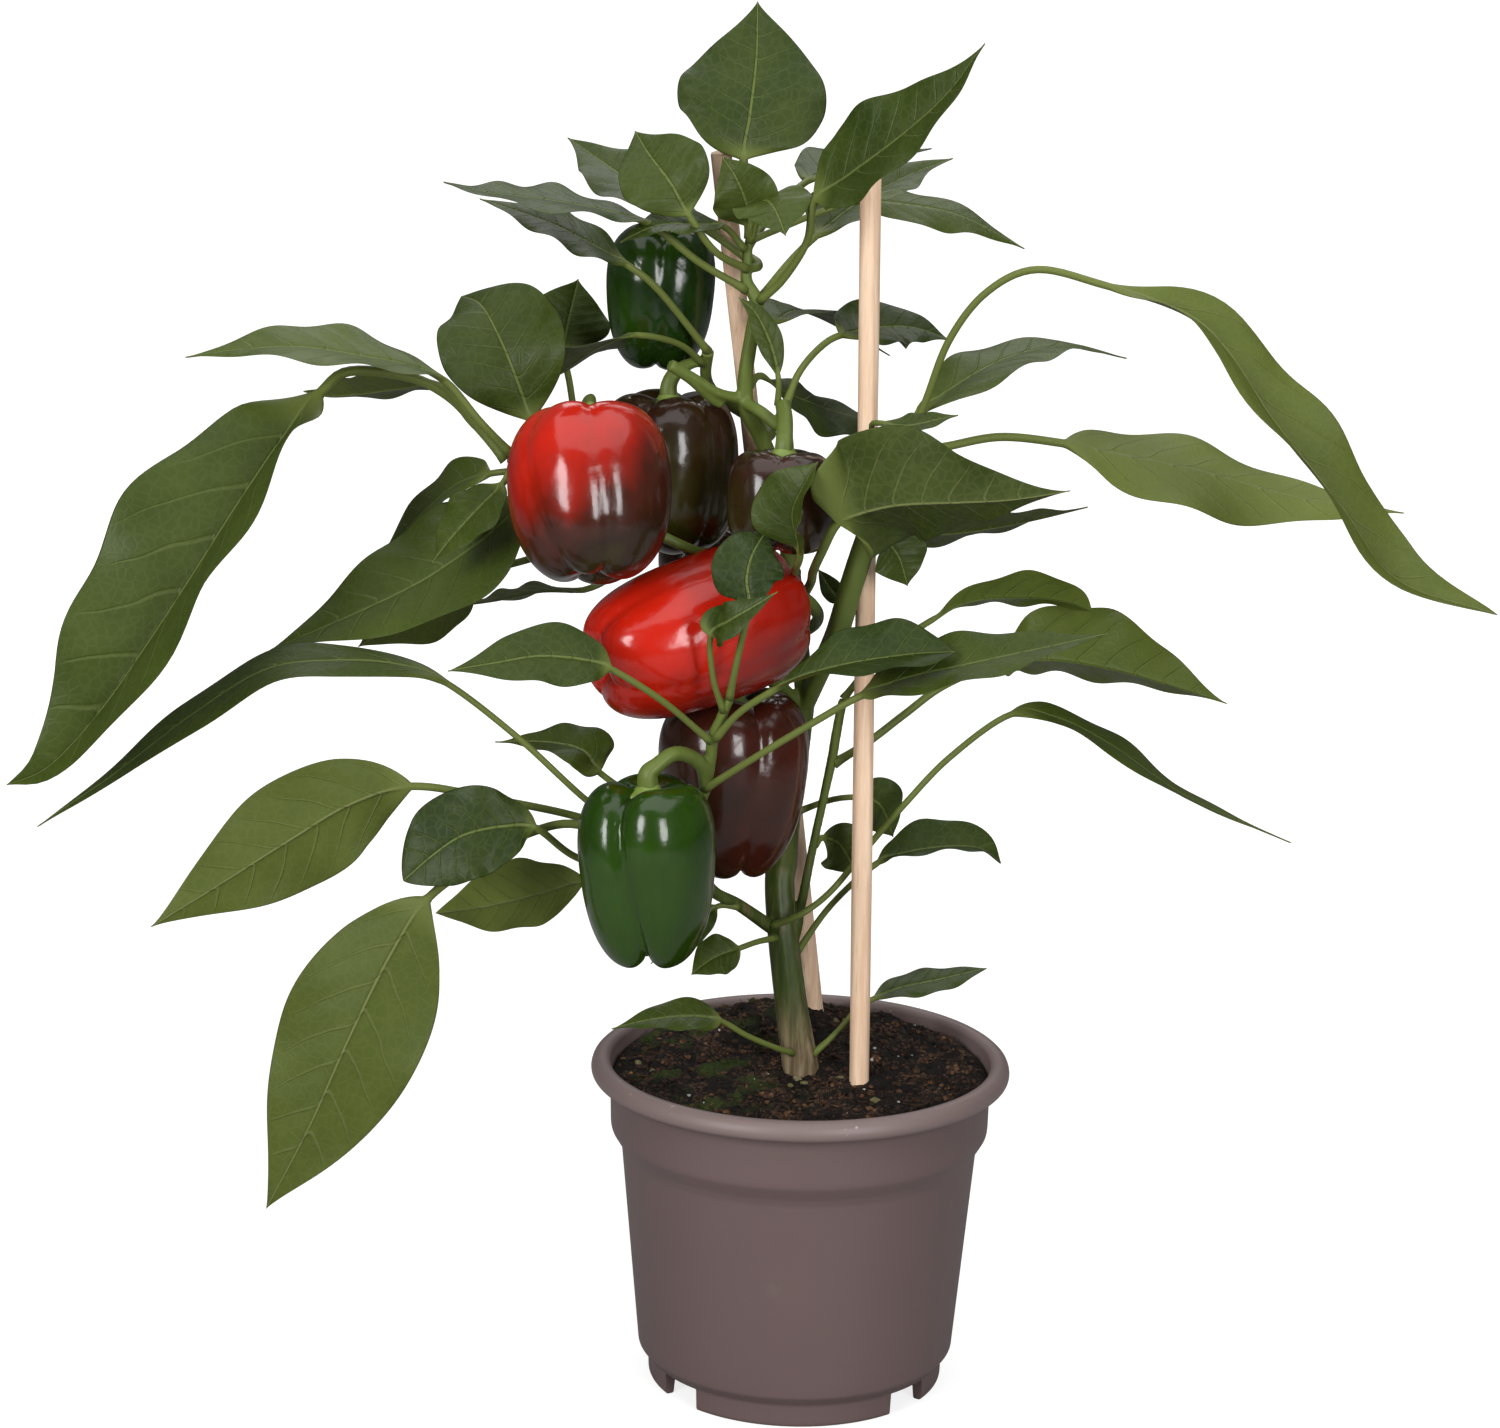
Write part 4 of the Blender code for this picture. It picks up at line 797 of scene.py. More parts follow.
for number, (name, item) in enumerate(LEAVES.items()):
    # the base of 0.18 is partly painted light, lifting leaves that face away from the lamps
    tone = LEAF_TONES_WITH_PAINTED_LIGHT.get(name, 0.18 + 0.24 * (number % 4) / 3)
    mesh = leaf_mesh(name + "_blade", item, number, tone, WAVY.get(name, USUAL_WAVE))
    sides = [leaf_under, leaf_top] if name in TURNED else [leaf_top, leaf_under]
    stands_for = () if name in SMALL else (name,)
    make_piece(name + "_blade", mesh, sides, "leaf", stands_for)
print("leaves:", len(LEAVES))

# %% [markdown]
# ## Fruits
#
# A sweet pepper is a blunt barrel with three or four lobes, with a dimple at the
# stalk and a smaller one at the blossom end. A sphere pushed about by hand would
# never show such crisp furrows. Here the outline is a superellipse, which has flat
# sides and round shoulders, and each furrow is a dip of two widths added together:
# a wide one that rounds the lobes and a narrow one that makes the crease.

# %% The shape of a fruit
FRUIT_ROWS, FRUIT_COLUMNS = 64, 112
BLOCK = 0.62  # exponent of the outline: 1 is an ellipse, smaller is blunter
SHOULDER = 0.035  # how far the shoulder rises above the stalk's end, as a share of the length
TOP_DIMPLE, END_DIMPLE = 0.17, 0.16  # depths, as shares of half the length
TOP_SPREAD, END_SPREAD = 0.40, 0.36  # widths of the dimples, as shares of the radius
FURROW_WIDTH, CREASE_WIDTH = 0.40, 0.11  # in radians round the fruit


def fruit(top, end, radius, creases, ripe, taper=0.0, bow=0.0, dimple=TOP_DIMPLE, rise=3.0):
    """A fruit: its stalk's end, its blossom end, its radius and its furrows.

    creases holds (angle at the shoulder, angle at the end, depth) in degrees, where
    0 points right and 90 to the front of an upright fruit. ripe holds the ripeness
    at the middle, how much it changes across the fruit, and the way it rises. taper
    narrows the blossom end, and bow narrows both ends round a wide middle. dimple
    is the depth of the dimple at the stalk, and rise is how far over it the stalk
    comes in.
    """
    return dict(
        top=np.array(top, float), end=np.array(end, float), radius=radius, creases=creases,
        ripe=ripe, taper=taper, dimple=dimple, bow=bow, rise=rise,
    )


def fruit_axes(item):
    """Unit axis from stalk to end, the two directions across it, and the length."""
    axis = item["end"] - item["top"]
    length = np.linalg.norm(axis)
    u = unit(np.cross(axis, (0.0, 1.0, 0.0)))
    return axis / length, u, np.cross(axis / length, u), length


def furrows(item, theta, x):
    """How deep the skin lies in its furrows, 0 on the lobes."""
    depth = 0.0
    for top_angle, end_angle, amount in item["creases"]:
        middle = np.radians(top_angle + (end_angle - top_angle) * (x + 1) / 2)
        away = np.angle(np.exp(1j * (theta - middle)))
        dip = 0.60 * np.exp(-((away / FURROW_WIDTH) ** 2))
        dip = dip + 0.40 * np.exp(-((away / CREASE_WIDTH) ** 2))
        depth = depth + amount * dip * (0.62 + 0.75 * x**2)
    return depth


def fruit_surface(item, theta, phi):
    """Places on the skin at the angles round (theta) and down (phi) the fruit."""
    axis, u, v, length = fruit_axes(item)
    rho = np.sin(phi) ** BLOCK
    x = -np.sign(np.cos(phi)) * np.abs(np.cos(phi)) ** BLOCK
    depth = furrows(item, theta, x)
    share = (x + 1) / 2
    lumps = 1 + 0.025 * np.cos(2 * theta + 1) + 0.02 * np.cos(theta - 2 + 2 * x)
    narrow = 1 - item["taper"] * share**2 - item["bow"] * (2 * share - 1) ** 2
    radius = item["radius"] * rho * (1 - depth) * narrow * lumps
    x = x * (1 - 0.55 * depth * np.abs(x) ** 3)
    x = x + item["dimple"] * np.exp(-((rho / TOP_SPREAD) ** 2)) * (x < 0)
    x = x - END_DIMPLE * np.exp(-((rho / END_SPREAD) ** 2)) * (x > 0)
    down = (x * (1 + SHOULDER) + 1 - SHOULDER) / 2 * length
    around = spokes(theta, u, v)
    return item["top"] + down[..., None] * axis + radius[..., None] * around, depth, share


def fruit_mesh(name, item):
    """The closed skin, with its ripeness, its furrows and its place along the fruit."""
    theta = 2 * np.pi * np.arange(FRUIT_COLUMNS)[None, :] / FRUIT_COLUMNS
    phi = np.pi * (np.arange(FRUIT_ROWS)[:, None] + 0.5) / FRUIT_ROWS
    theta, phi = np.broadcast_arrays(theta, phi)
    rings, depth, share = fruit_surface(item, theta, phi)
    points, quads, triangles = close_grid(rings, rings[0].mean(axis=0), rings[-1].mean(axis=0))
    level, change, way = item["ripe"]
    middle = (item["top"] + item["end"]) / 2
    ripe = level + change * np.clip((points - middle) @ unit(way) / item["radius"], -0.7, 1.3)
    numbers = {
        "ripe": ripe,
        "furrow": np.r_[depth.ravel(), 0, 0],
        "down": np.r_[share.ravel(), 0, 1],
    }
    return make_mesh(name, points, quads, triangles, numbers)


# %% [markdown]
# The skin is thick, waxy and very glossy. Its colour runs from green over a dark
# brown to red as it ripens, and the change comes in soft blotches and streaks. One
# colour ramp holds the whole way from unripe to ripe, and each fruit only says how
# far along it is. The slight waviness of the skin breaks the reflections up.

# %% Fruit skin
RIPENING = [
    (0.0, (0.008, 0.026, 0.002)), (0.16, (0.018, 0.052, 0.001)), (0.34, (0.040, 0.034, 0.006)),
    (0.50, (0.024, 0.010, 0.005)), (0.64, (0.055, 0.010, 0.005)), (0.78, (0.27, 0.010, 0.004)),
    (1.0, (0.50, 0.013, 0.004)),
]


def ramp_of(g, factor, stops):
    """A colour ramp with the given stops of (place, colour)."""
    ramp = g.node("ShaderNodeValToRGB", None, [factor])
    elements = ramp.socket.node.color_ramp.elements
    elements[0].position, elements[0].color = stops[0][0], rgba(stops[0][1])
    elements[1].position, elements[1].color = stops[-1][0], rgba(stops[-1][1])
    for position, colour in stops[1:-1]:
        elements.new(position).color = rgba(colour)
    return ramp


g = Graph("pepper skin")
blotches = g.noise(34.0, 3.0, 0.55)
streaks = g.noise(70.0, 2.0, 0.5, g.stretch(g.place(), (1.0, 1.0, 0.25)))
ripe = g.attribute("ripe") + (blotches - 0.5) * 0.28 + (streaks - 0.5) * 0.20
skin = ramp_of(g, ripe.clamp(), RIPENING)
waves = g.noise(55.0, 2.0, 0.5) + g.noise(420.0, 1.0, 0.5) * 0.05
fruit_skin = g.finish(
    Base_Color=skin,
    Roughness=0.20,
    Coat_Weight=0.25,
    Coat_Roughness=0.06,
    Specular_IOR_Level=0.36,
    Normal=g.bump(waves, 0.0022, 0.55),
)
print("skin ramp stops:", len(RIPENING))

# %% [markdown]
# Each furrow is placed by its angle at the shoulder and at the end, so a furrow that
# winds down a lobe has two different angles.

# %% Make the fruits
FRUITS = {
    "fruit_red_upper": fruit(
        (-85, -36, 406), (-83, -60, 341), 31.6,
        [(88, 66, 0.10), (150, 118, 0.10), (235, 240, 0.12), (325, 330, 0.12)],
        (0.68, 0.27, (-0.5, 0.1, 0.85)), 0.10, 0.15, TOP_DIMPLE, -1.0,
    ),
    "fruit_brown": fruit(
        (-57, 9, 405), (-57, 7, 340), 28.3,
        [(112, 108, 0.13), (40, 45, 0.10), (200, 200, 0.12), (290, 290, 0.12)],
        (0.37, 0.13, (0.1, 0, 1)), 0.10, 0.05,
    ),
    "fruit_small_brown": fruit(
        (-11, -34, 390), (-12, -37, 350), 20.8,
        [(95, 95, 0.13), (215, 215, 0.12), (335, 335, 0.12)],
        (0.50, 0.02, (0, 0, 1)),
    ),
    "fruit_red_front": fruit(
        (-6, -8, 326), (-84, -46, 306), 30.0,
        [(60, 60, 0.07), (150, 150, 0.08), (240, 240, 0.09), (330, 330, 0.07)],
        (0.95, 0.30, (-0.5, -0.2, 0.8)), 0.10, 0.03,
    ),
    "fruit_dark_lower": fruit(
        (-29, -1, 287), (-27, -6, 211), 33,
        [(64, 78, 0.14), (180, 180, 0.12), (270, 270, 0.12), (0, 0, 0.12)],
        (0.58, 0.09, (1, 0, 0)), 0.42, 0.02,
    ),
    "fruit_green_front": fruit(
        (-60, -72, 268), (-59, -72, 194), 27.3,
        [(127, 90, 0.28), (215, 215, 0.12), (330, 330, 0.12)],
        (0.12, 0.04, (0, 0, -1)), 0.26, 0.03,
    ),
    "fruit_green_top": fruit(
        (-60, 30, 468), (-63, 28, 410), 23,
        [(85, 90, 0.12), (180, 180, 0.12), (270, 270, 0.12), (0, 0, 0.12)],
        (0.02, 0.03, (0, 0, 1)), 0.20, 0.03,
    ),
    "fruit_dark_back": fruit(
        (-43, 44, 346), (-45, 42, 319), 17.5,
        [(90, 90, 0.12), (210, 210, 0.12), (330, 330, 0.12)],
        (0.5, 0.03, (0, 0, 1)),
    ),
}
for name, item in FRUITS.items():
    kind = "red" if "red" in name else "green" if "green" in name else "dark"
    make_piece(name + "_skin", fruit_mesh(name + "_skin", item), [fruit_skin], "fruit_" + kind, (name,))
print("fruits:", len(FRUITS))

# %% [markdown]
# ## Stem, branches and fruit stalks
#
# The stem is one living thing, so its branches grow out of one another with soft
# joints. Separate tubes would meet in hard creases. So all the tubes are put into
# one mesh, a voxel remesh melts them into a single skin, and a smoothing pass rounds
# the joints. The stalks reach down into the dimples of their fruits.

# %% Routes of the stem
STEMS = {
    "trunk": [
        (2, 0, 100, 6), (1, 0, 119, 7.4), (0, 0, 131, 7.4), (-4, 1, 155, 6.6), (-8, 3, 184, 6.2),
        (-10, 8, 205, 6), (-9, 13, 214, 6), (-6, 24, 228, 3.8), (-3, 27, 253, 3.6), (-1, 24, 277, 3.8),
    ],
    "right_fork": [
        (-1, 24, 277, 3.8), (5, 11, 295, 4.2), (11, -5, 313, 4.6), (16, -11, 333, 4.6),
        (22, -14, 354, 4.4), (28, -15, 372, 3.6), (36, -14, 388, 3),
    ],
    "left_fork": [
        (-1, 24, 277, 3.8), (-4, 20, 304, 3.8), (-7, 18, 327, 3.8), (-10, 16, 350, 3.6),
        (-14, 12, 370, 3.5), (-20, 7, 387, 3.4), (-26, 2, 400, 3.4), (-27, 0, 412, 3),
        (-25, -1, 428, 2.8), (-23, -1, 442, 2.8), (-27, 0, 450, 2.4), (-27, 0, 459, 2),
        (-26, 0, 469, 1.6),
    ],
    "stub": [
        (-27, 1, 404, 2.4), (-37, -4, 407, 2), (-46, -8, 413, 1.9), (-55, -12, 419, 1.8),
    ],
    "side_upper": [
        (-20, 8, 387, 2.6), (-17, 20, 388, 2.4), (-21, 31, 390, 2.4), (-31, 35, 395, 2.4),
        (-40, 31, 402, 2.4), (-43, 22, 410, 2.4), (-42, 12, 421, 2.6),
    ],
    "side_mid": [
        (-27, 0, 403, 2.6), (-20, -7, 400, 2.5), (-13, -12, 396, 2.6), (-12, -12, 404, 2.6),
    ],
    "branch_left": [
        (-6, 18, 325, 2.6), (-15, 15, 332, 2.6), (-26, 10, 338, 2.4), (-37, 0, 342, 2.3),
        (-41, -11, 345, 2.2), (-46, -21, 348, 2.2), (-60, -24, 355, 2.2), (-74, -17, 361, 2.2),
        (-89, -11, 368, 2.2), (-104, -13, 376, 2.2), (-118, -16, 382, 2.1),
    ],
    "branch_front": [
        (-13, 0, 190, 3), (-26, -10, 202, 2.6), (-37, -22, 212, 2.5), (-43, -40, 232, 2.4),
        (-42, -44, 249, 2.4), (-39, -48, 260, 2.5), (-37, -53, 272, 2.3), (-36, -56, 282, 2.3),
        (-33, -58, 290, 2), (-30, -59, 298, 2),
    ],
    "thin_stem": [
        (-6, 4, 177, 2.6), (-3, 4, 187, 2.4), (-1, 4, 198, 2), (3, 5, 221, 1.8), (7, 6, 242, 1.8),
        (10, 6, 258, 2), (12, 5, 272, 2), (14, 4, 284, 1.8),
    ],
    "stalk_1": [
        (-82, -13, 364, 2), (-84, -11, 374, 2.2), (-86, -8, 384, 2.4), (-88, -7, 394, 2.4),
        (-88, -11, 402, 2.4), (-86, -20, 406, 2.3), (-85, -32, 408, 2.2),
    ],
    "stalk_2": [
        (-43, 15, 416, 1.9), (-48, 14, 416, 2.2), (-54, 11, 413, 3), (-56, 9, 407, 3.4),
    ],
    "stalk_3": [
        (-12, -12, 404, 3.2), (-11, -22, 400, 3.2), (-11, -31, 395, 3.4), (-11, -34, 392, 3.6),
    ],
    "stalk_4": [
        (-5, 20, 306, 2.4), (2, 14, 312, 2.4), (3, 4, 319, 2.6), (0, -5, 323, 3.2),
    ],
    "stalk_5": [
        (-1, 24, 274, 2.2), (-9, 18, 284, 2.4), (-18, 13, 290, 2.8), (-25, 6, 289, 3.2),
        (-28, 0, 287, 3.4),
    ],
    "stalk_6": [
        (-39, -48, 260, 2.4), (-40, -55, 270, 2.9), (-45, -62, 276, 2.9), (-51, -68, 278, 2.9),
        (-57, -71, 274, 3.2), (-60, -72, 269, 3.8),
    ],
    "stalk_7": [
        (-27, 0, 455, 1.9), (-23, 8, 455, 1.9), (-24, 18, 456, 1.9), (-31, 24, 459, 1.9),
        (-38, 26, 464, 1.9), (-47, 28, 471, 2.1), (-54, 29, 475, 2.6), (-60, 30, 472, 3),
    ],
    "stalk_8": [
        (-9, 17, 341, 1.9), (-7, 27, 343, 1.9), (-15, 38, 348, 2), (-28, 43, 353, 2.1),
        (-37, 44, 353, 2.2), (-42, 43, 351, 2.6), (-43, 44, 348, 2.8),
    ],
    "cut_stub": [
        (-36, -1, 402, 1.9), (-40, -3, 405, 2.2), (-48, -8, 413, 2.3), (-56, -12, 419, 2.5),
    ],
}

# which fruit each stalk carries
STALKS = {
    "stalk_1": "fruit_red_upper",
    "stalk_2": "fruit_brown",
    "stalk_3": "fruit_small_brown",
    "stalk_4": "fruit_red_front",
    "stalk_5": "fruit_dark_lower",
    "stalk_6": "fruit_green_front",
    "stalk_7": "fruit_green_top",
    "stalk_8": "fruit_dark_back",
}
print("stem routes:", len(STEMS))


# %% [markdown]
# A tube is a circle carried along its route. The circle's two directions are handed
# on from point to point and turned as little as the route allows, so the tube never
# twists. A cosine round the circle raises the soft ridges of a stem.

# %% Tubes along routes
def tube_frames(centre):
    """Two unit vectors across a route at each of its points, turning as little as they can."""
    tangent = unit(np.gradient(centre, axis=0))
    across = np.cross(tangent[0], (0.31, 0.94, 0.13))
    u = []
    for direction in tangent:
        across = unit(across - np.dot(across, direction) * direction)
        u.append(across)
    return np.array(u), np.cross(tangent, np.array(u))


def tube(centre, radii, sides, ridges=0, ridge=0.0):
    """A closed tube: radius times a turned cosine, for a stem with ridges."""
    u, v = tube_frames(centre)
    theta = 2 * np.pi * np.arange(sides) / sides
    radius = radii[:, None] * (1 + ridge * np.cos(ridges * theta))[None, :]
    around = spokes(theta, u[:, None], v[:, None])
    return close_grid(centre[:, None] + radius[..., None] * around, centre[0], centre[-1])


def join(bodies):
    """Several bodies' points, quads and triangles as one."""
    points, quads, triangles, count = [], [], [], 0
    for p, q, t in bodies:
        if signed_volume(p, q, t) < 0:
            q, t = q[:, ::-1], t[:, ::-1]
        points.append(p)
        quads.append(q + count)
        triangles.append(t + count)
        count += len(p)
    return np.vstack(points), np.vstack(quads), np.vstack(triangles)


# %% [markdown]
# The tubes overlap where branches meet. A voxel remesh lays a fine grid over them and
# keeps their common outside, and a few smoothing passes take its steps away. Each
# stalk is led on into the dimple of the fruit that it carries.

# %% Melt the tubes into one stem
STEM_VOXEL = 0.75  # mm
RIDGE = 0.05  # height of the ridges along a branch, as a share of its radius


def stem_route(name):
    """A route's smooth centre line and radii; a stalk ends in its fruit's dimple."""
    rows = np.array(STEMS[name], float)
    if name in STALKS:
        item = FRUITS[STALKS[name]]
        axis, _, _, length = fruit_axes(item)
        depth = (item["dimple"] / 2 - SHOULDER) * length
        rows[-1, :3] = item["top"] - item["rise"] * axis
        rows = np.vstack([rows, [*(item["top"] + depth * axis), rows[-1, 3] * 1.15]])
    return smooth_curve(rows, 6)


def melted(name, body, voxel, passes):
    """A body's mesh with its shells melted together and smoothed."""
    rough = add_object(name, make_mesh(name, *body))
    remesh = rough.modifiers.new("melt", "REMESH")
    remesh.mode, remesh.voxel_size = "VOXEL", voxel * MM
    smooth = rough.modifiers.new("round", "SMOOTH")
    smooth.factor, smooth.iterations = 0.5, passes
    shape = rough.evaluated_get(bpy.context.evaluated_depsgraph_get())
    mesh = bpy.data.meshes.new_from_object(shape)
    bpy.data.objects.remove(rough)
    mesh.name = name
    mesh.shade_smooth()
    return mesh


tubes = []
for name in STEMS:
    route = stem_route(name)
    sides, ridges = (28, 7) if name == "trunk" else (16, 4)
    tubes.append(tube(route[:, :3], route[:, 3], sides, ridges, RIDGE))
stem_mesh = melted("stem_skin", join(tubes), STEM_VOXEL, 3)
print("stem faces:", len(stem_mesh.polygons))

# %% [markdown]
# Young branches are smooth and bright green with paler ridges. The old trunk is
# darker, with brown corky streaks, and its foot has turned to wood. The height above
# the ground tells young from old, and noise drawn out along the stem makes streaks.

# %% Stem material
WOOD_FOOT, GREEN_FROM = 0.134, 0.170  # heights in metres
OLD_GREEN, YOUNG_GREEN, PALE_GREEN = (0.034, 0.052, 0.007), (0.100, 0.138, 0.024), (0.165, 0.205, 0.060)
CORK, WOOD_DARK, WOOD_LIGHT = (0.150, 0.105, 0.055), (0.105, 0.072, 0.038), (0.265, 0.205, 0.120)
g = Graph("stem")
height = g.coordinate(2)
streaks = g.noise(260.0, 3.0, 0.6, g.stretch(g.place(), (1.0, 1.0, 0.10)))
patches = g.noise(60.0, 3.0)
young = height.smooth(0.19, 0.26)
wooded = 1.0 - height.smooth(WOOD_FOOT, GREEN_FROM)
green = g.mix(young, OLD_GREEN, YOUNG_GREEN)
green = g.mix((streaks * 1.6 - 0.55).clamp() * 0.5, green, PALE_GREEN)
corky = (streaks.smooth(0.50, 0.62) * (1.0 - young) * patches.smooth(0.38, 0.55)).clamp()
bark = g.mix(corky * 0.6, green, CORK)
wood = g.mix(streaks.smooth(0.35, 0.65), WOOD_DARK, WOOD_LIGHT)
colour = g.mix((wooded * (0.65 + patches * 0.6)).clamp(), bark, wood)
grain = streaks * (0.25 + wooded * 1.3) + patches * 0.2
stem_skin = g.finish(
    Base_Color=colour,
    Roughness=0.42 + wooded * 0.3,
    Normal=g.bump(grain, 0.0011, 0.7),
    Specular_IOR_Level=0.25,
)
make_piece("stem_skin", stem_mesh, [stem_skin], "stem", ("stem",))
print("stem wood ends at", GREEN_FROM, "m")

# %% [markdown]
# ## Calyxes
#
# Where the stalk meets the fruit, the dried flower leaves a green cap with five
# blunt points. It lies in the dimple and flows up the stalk. Its height is a bell
# curve over the fruit's own dimple, so it hugs the skin whatever the fruit's shape.

# %% Make the calyxes
CALYX_REACH, CALYX_THICK, USUAL_RADIUS = 8.5, 0.9, 28  # mm, the reach on a fruit of the usual radius
POINTS, POINT_DEPTH = 5, 0.16
CALYX_DARK, CALYX_LIGHT = (0.125, 0.195, 0.022), (0.230, 0.310, 0.065)


def dimple_height(item, radius):
    """Place along the axis, in mm from the stalk's end, of the skin at a radius."""
    rho = np.clip(radius / item["radius"], 0, 1)
    x = -((1 - rho ** (1 / BLOCK)) ** BLOCK) + item["dimple"] * np.exp(-((rho / TOP_SPREAD) ** 2))
    return (x * (1 + SHOULDER) + 1 - SHOULDER) / 2 * fruit_axes(item)[3]


def calyx_body(item, stalk_radius):
    """A cap on the dimple's skin, thickest at the stalk.

    Its edge is the reach times one plus a cosine with a wave for each point.
    """
    axis, u, v, _ = fruit_axes(item)
    reach = CALYX_REACH * item["radius"] / USUAL_RADIUS
    q = np.linspace(0.04, 1, 12)[:, None]
    theta = 2 * np.pi * np.arange(40)[None, :] / 40
    radius = q * reach * (1 + POINT_DEPTH * q * np.cos(POINTS * theta))
    skin = dimple_height(item, radius)
    rise = CALYX_THICK * np.sqrt(1 - 0.97 * q**4) + 4.5 * np.exp(-((radius / (stalk_radius * 1.15)) ** 4))
    around = spokes(theta, u, v)
    outer = item["top"] + (skin - rise)[..., None] * axis + radius[..., None] * around
    inner = item["top"] + (skin + 0.6)[..., None] * axis + (radius * 0.97)[..., None] * around
    rings = np.concatenate([outer, inner[::-1]])
    return close_grid(rings, outer[0].mean(axis=0), inner[0].mean(axis=0))


g = Graph("calyx")
patches = g.noise(120.0, 3.0)
colour = g.mix(patches, CALYX_DARK, CALYX_LIGHT)
calyx_green = g.finish(Base_Color=colour, Roughness=0.45, Normal=g.bump(patches, 0.0006, 0.6))
for stalk, fruit_name in STALKS.items():
    name = fruit_name + "_calyx"
    body = calyx_body(FRUITS[fruit_name], STEMS[stalk][-1][3])
    make_piece(name, make_mesh(name, *body), [calyx_green], "stem")
print("calyxes:", len(STALKS))

# %% [markdown]
# ## Pot
#
# The pot is turned from one outline, as a moulded pot nearly is: a tapered body, a
# stepped collar and a rolled rim. Its corners are rounded by replacing each with a
# short arc. The foot ring has four notches for drainage, made by lifting the
# outline's low points where the angle lies in a notch.

# %% The pot's outline
POT_OUTLINE = [
    (0, 0), (30, 0), (32.5, 10), (55.5, 10), (56.5, 0), (59.6, 0), (60.3, 1.2), (60.6, 9.6),
    (64.6, 14), (72.2, 98), (73.2, 101), (76.5, 106.5), (76.8, 108.5), (77.2, 128.3), (83.6, 128.6),
    (84.8, 130), (85, 132), (84.2, 134.4), (82.4, 136), (80.6, 136.5), (78.6, 136.1), (77.2, 134.7),
    (75.3, 109), (70.7, 98), (63.1, 15.8), (60.8, 12), (31, 12), (28.5, 2), (0, 2),
]
NOTCH_ANGLES = (50, 130, 230, 310)  # degrees from +Y, clockwise from above
NOTCH_WIDTH, NOTCH_HEIGHT = 20.0, 9.4
FOOT_RADIUS, FOOT_FROM = 60.0, 50.0  # the foot ring, and the radius outside which it lies
NOTCH_HALF = np.arcsin(NOTCH_WIDTH / 2 / FOOT_RADIUS)  # half a notch as an angle
POT_COLUMNS, POT_CORNER, POT_STEP = 240, 0.9, 6.0  # columns, corner rounding and row distance, mm


def rounded(outline, radius, steps=5):
    """An outline whose corners are quadratic arcs that start radius before each corner."""
    p = np.asarray(outline, float)
    before, corner, after = p[:-2], p[1:-1], p[2:]
    reach_in = np.minimum(radius, np.linalg.norm(before - corner, axis=1) * 0.45)[:, None]
    reach_out = np.minimum(radius, np.linalg.norm(after - corner, axis=1) * 0.45)[:, None]
    start = corner + unit(before - corner) * reach_in
    end = corner + unit(after - corner) * reach_out
    t = np.linspace(0, 1, steps)[None, :, None]
    arcs = (1 - t) ** 2 * start[:, None] + 2 * t * (1 - t) * corner[:, None] + t**2 * end[:, None]
    return np.vstack([p[:1], arcs.reshape(-1, 2), p[-1:]])


def finer(outline, step):
    """The outline with points added wherever two lie further apart than step."""
    along = lengths_along(outline)
    places = np.unique(np.round(np.r_[along, np.arange(0, along[-1], step)], 3))
    return np.stack([np.interp(places, along, outline[:, k]) for k in range(2)], axis=1)


def pot_columns():
    """Angles round the pot in radians, with a close pair at each side of each notch."""
    notches = np.radians(NOTCH_ANGLES)
    halves = [side * (NOTCH_HALF + nudge) for side in (-1, 1) for nudge in (-0.002, 0.002)]
    edges = np.concatenate([notches + half for half in halves])
    return np.unique(np.r_[np.arange(POT_COLUMNS) * 2 * np.pi / POT_COLUMNS, edges])


# %% [markdown]
# The outline is swept round the upright axis. The points of the foot ring that lie in
# a notch are lifted to the notch's height, and a close pair of columns at each side
# of a notch keeps its edge upright.

# %% Turn the pot
SHARP_ANGLE = np.radians(50)  # an edge that bends more than this stays sharp
outline = finer(rounded(POT_OUTLINE, POT_CORNER), POT_STEP)
columns = pot_columns()
radius, z = outline[1:-1, :1], outline[1:-1, 1:]
near = np.abs((columns[:, None] - np.radians(NOTCH_ANGLES) + np.pi) % (2 * np.pi) - np.pi).min(axis=1)
cut = (near < NOTCH_HALF)[None, :] & (radius > FOOT_FROM)
lifted = np.where(cut, np.maximum(z, NOTCH_HEIGHT), z)
rings = np.stack([radius * np.sin(columns), radius * np.cos(columns), lifted], axis=-1)
body = close_grid(rings, (0, 0, outline[0, 1]), (0, 0, outline[-1, 1]))
pot_mesh = make_mesh("pot_shell", *body)
pot_mesh.set_sharp_from_angle(angle=SHARP_ANGLE)
print("pot faces:", len(pot_mesh.polygons))

# %% [markdown]
# The plastic is a warm grey-brown with a fine, slightly dull skin. It has faint
# rings from the mould, a rim that is a little paler, with a few scuffs, and thin dust.

# %% Pot material
POT_DARK, POT_LIGHT = (0.117, 0.078, 0.076), (0.136, 0.092, 0.088)
POT_DUST, POT_LIP, POT_SCUFF = (0.30, 0.26, 0.23), (0.38, 0.31, 0.29), (0.55, 0.50, 0.47)
g = Graph("pot plastic")
cloud = g.noise(14.0, 3.0)
rings = g.noise(120.0, 2.0, 0.5, g.stretch(g.place(), (0.05, 0.05, 1.0)))
grit = g.noise(1500.0, 2.0)
height = g.coordinate(2)
scuffs = g.noise(190.0, 4.0, 0.7).smooth(0.66, 0.74) * height.smooth(0.122, 0.134)
dust = g.noise(60.0, 5.0, 0.7).smooth(0.60, 0.80)
colour = g.mix(cloud, POT_DARK, POT_LIGHT)
colour = g.mix(dust * 0.10, colour, POT_DUST)
colour = g.mix(height.smooth(0.126, 0.131) * 0.20, colour, POT_LIP)
colour = g.mix((scuffs * 0.55).clamp(), colour, POT_SCUFF)
skin = rings * 0.35 + grit * 0.10 + cloud * 0.3
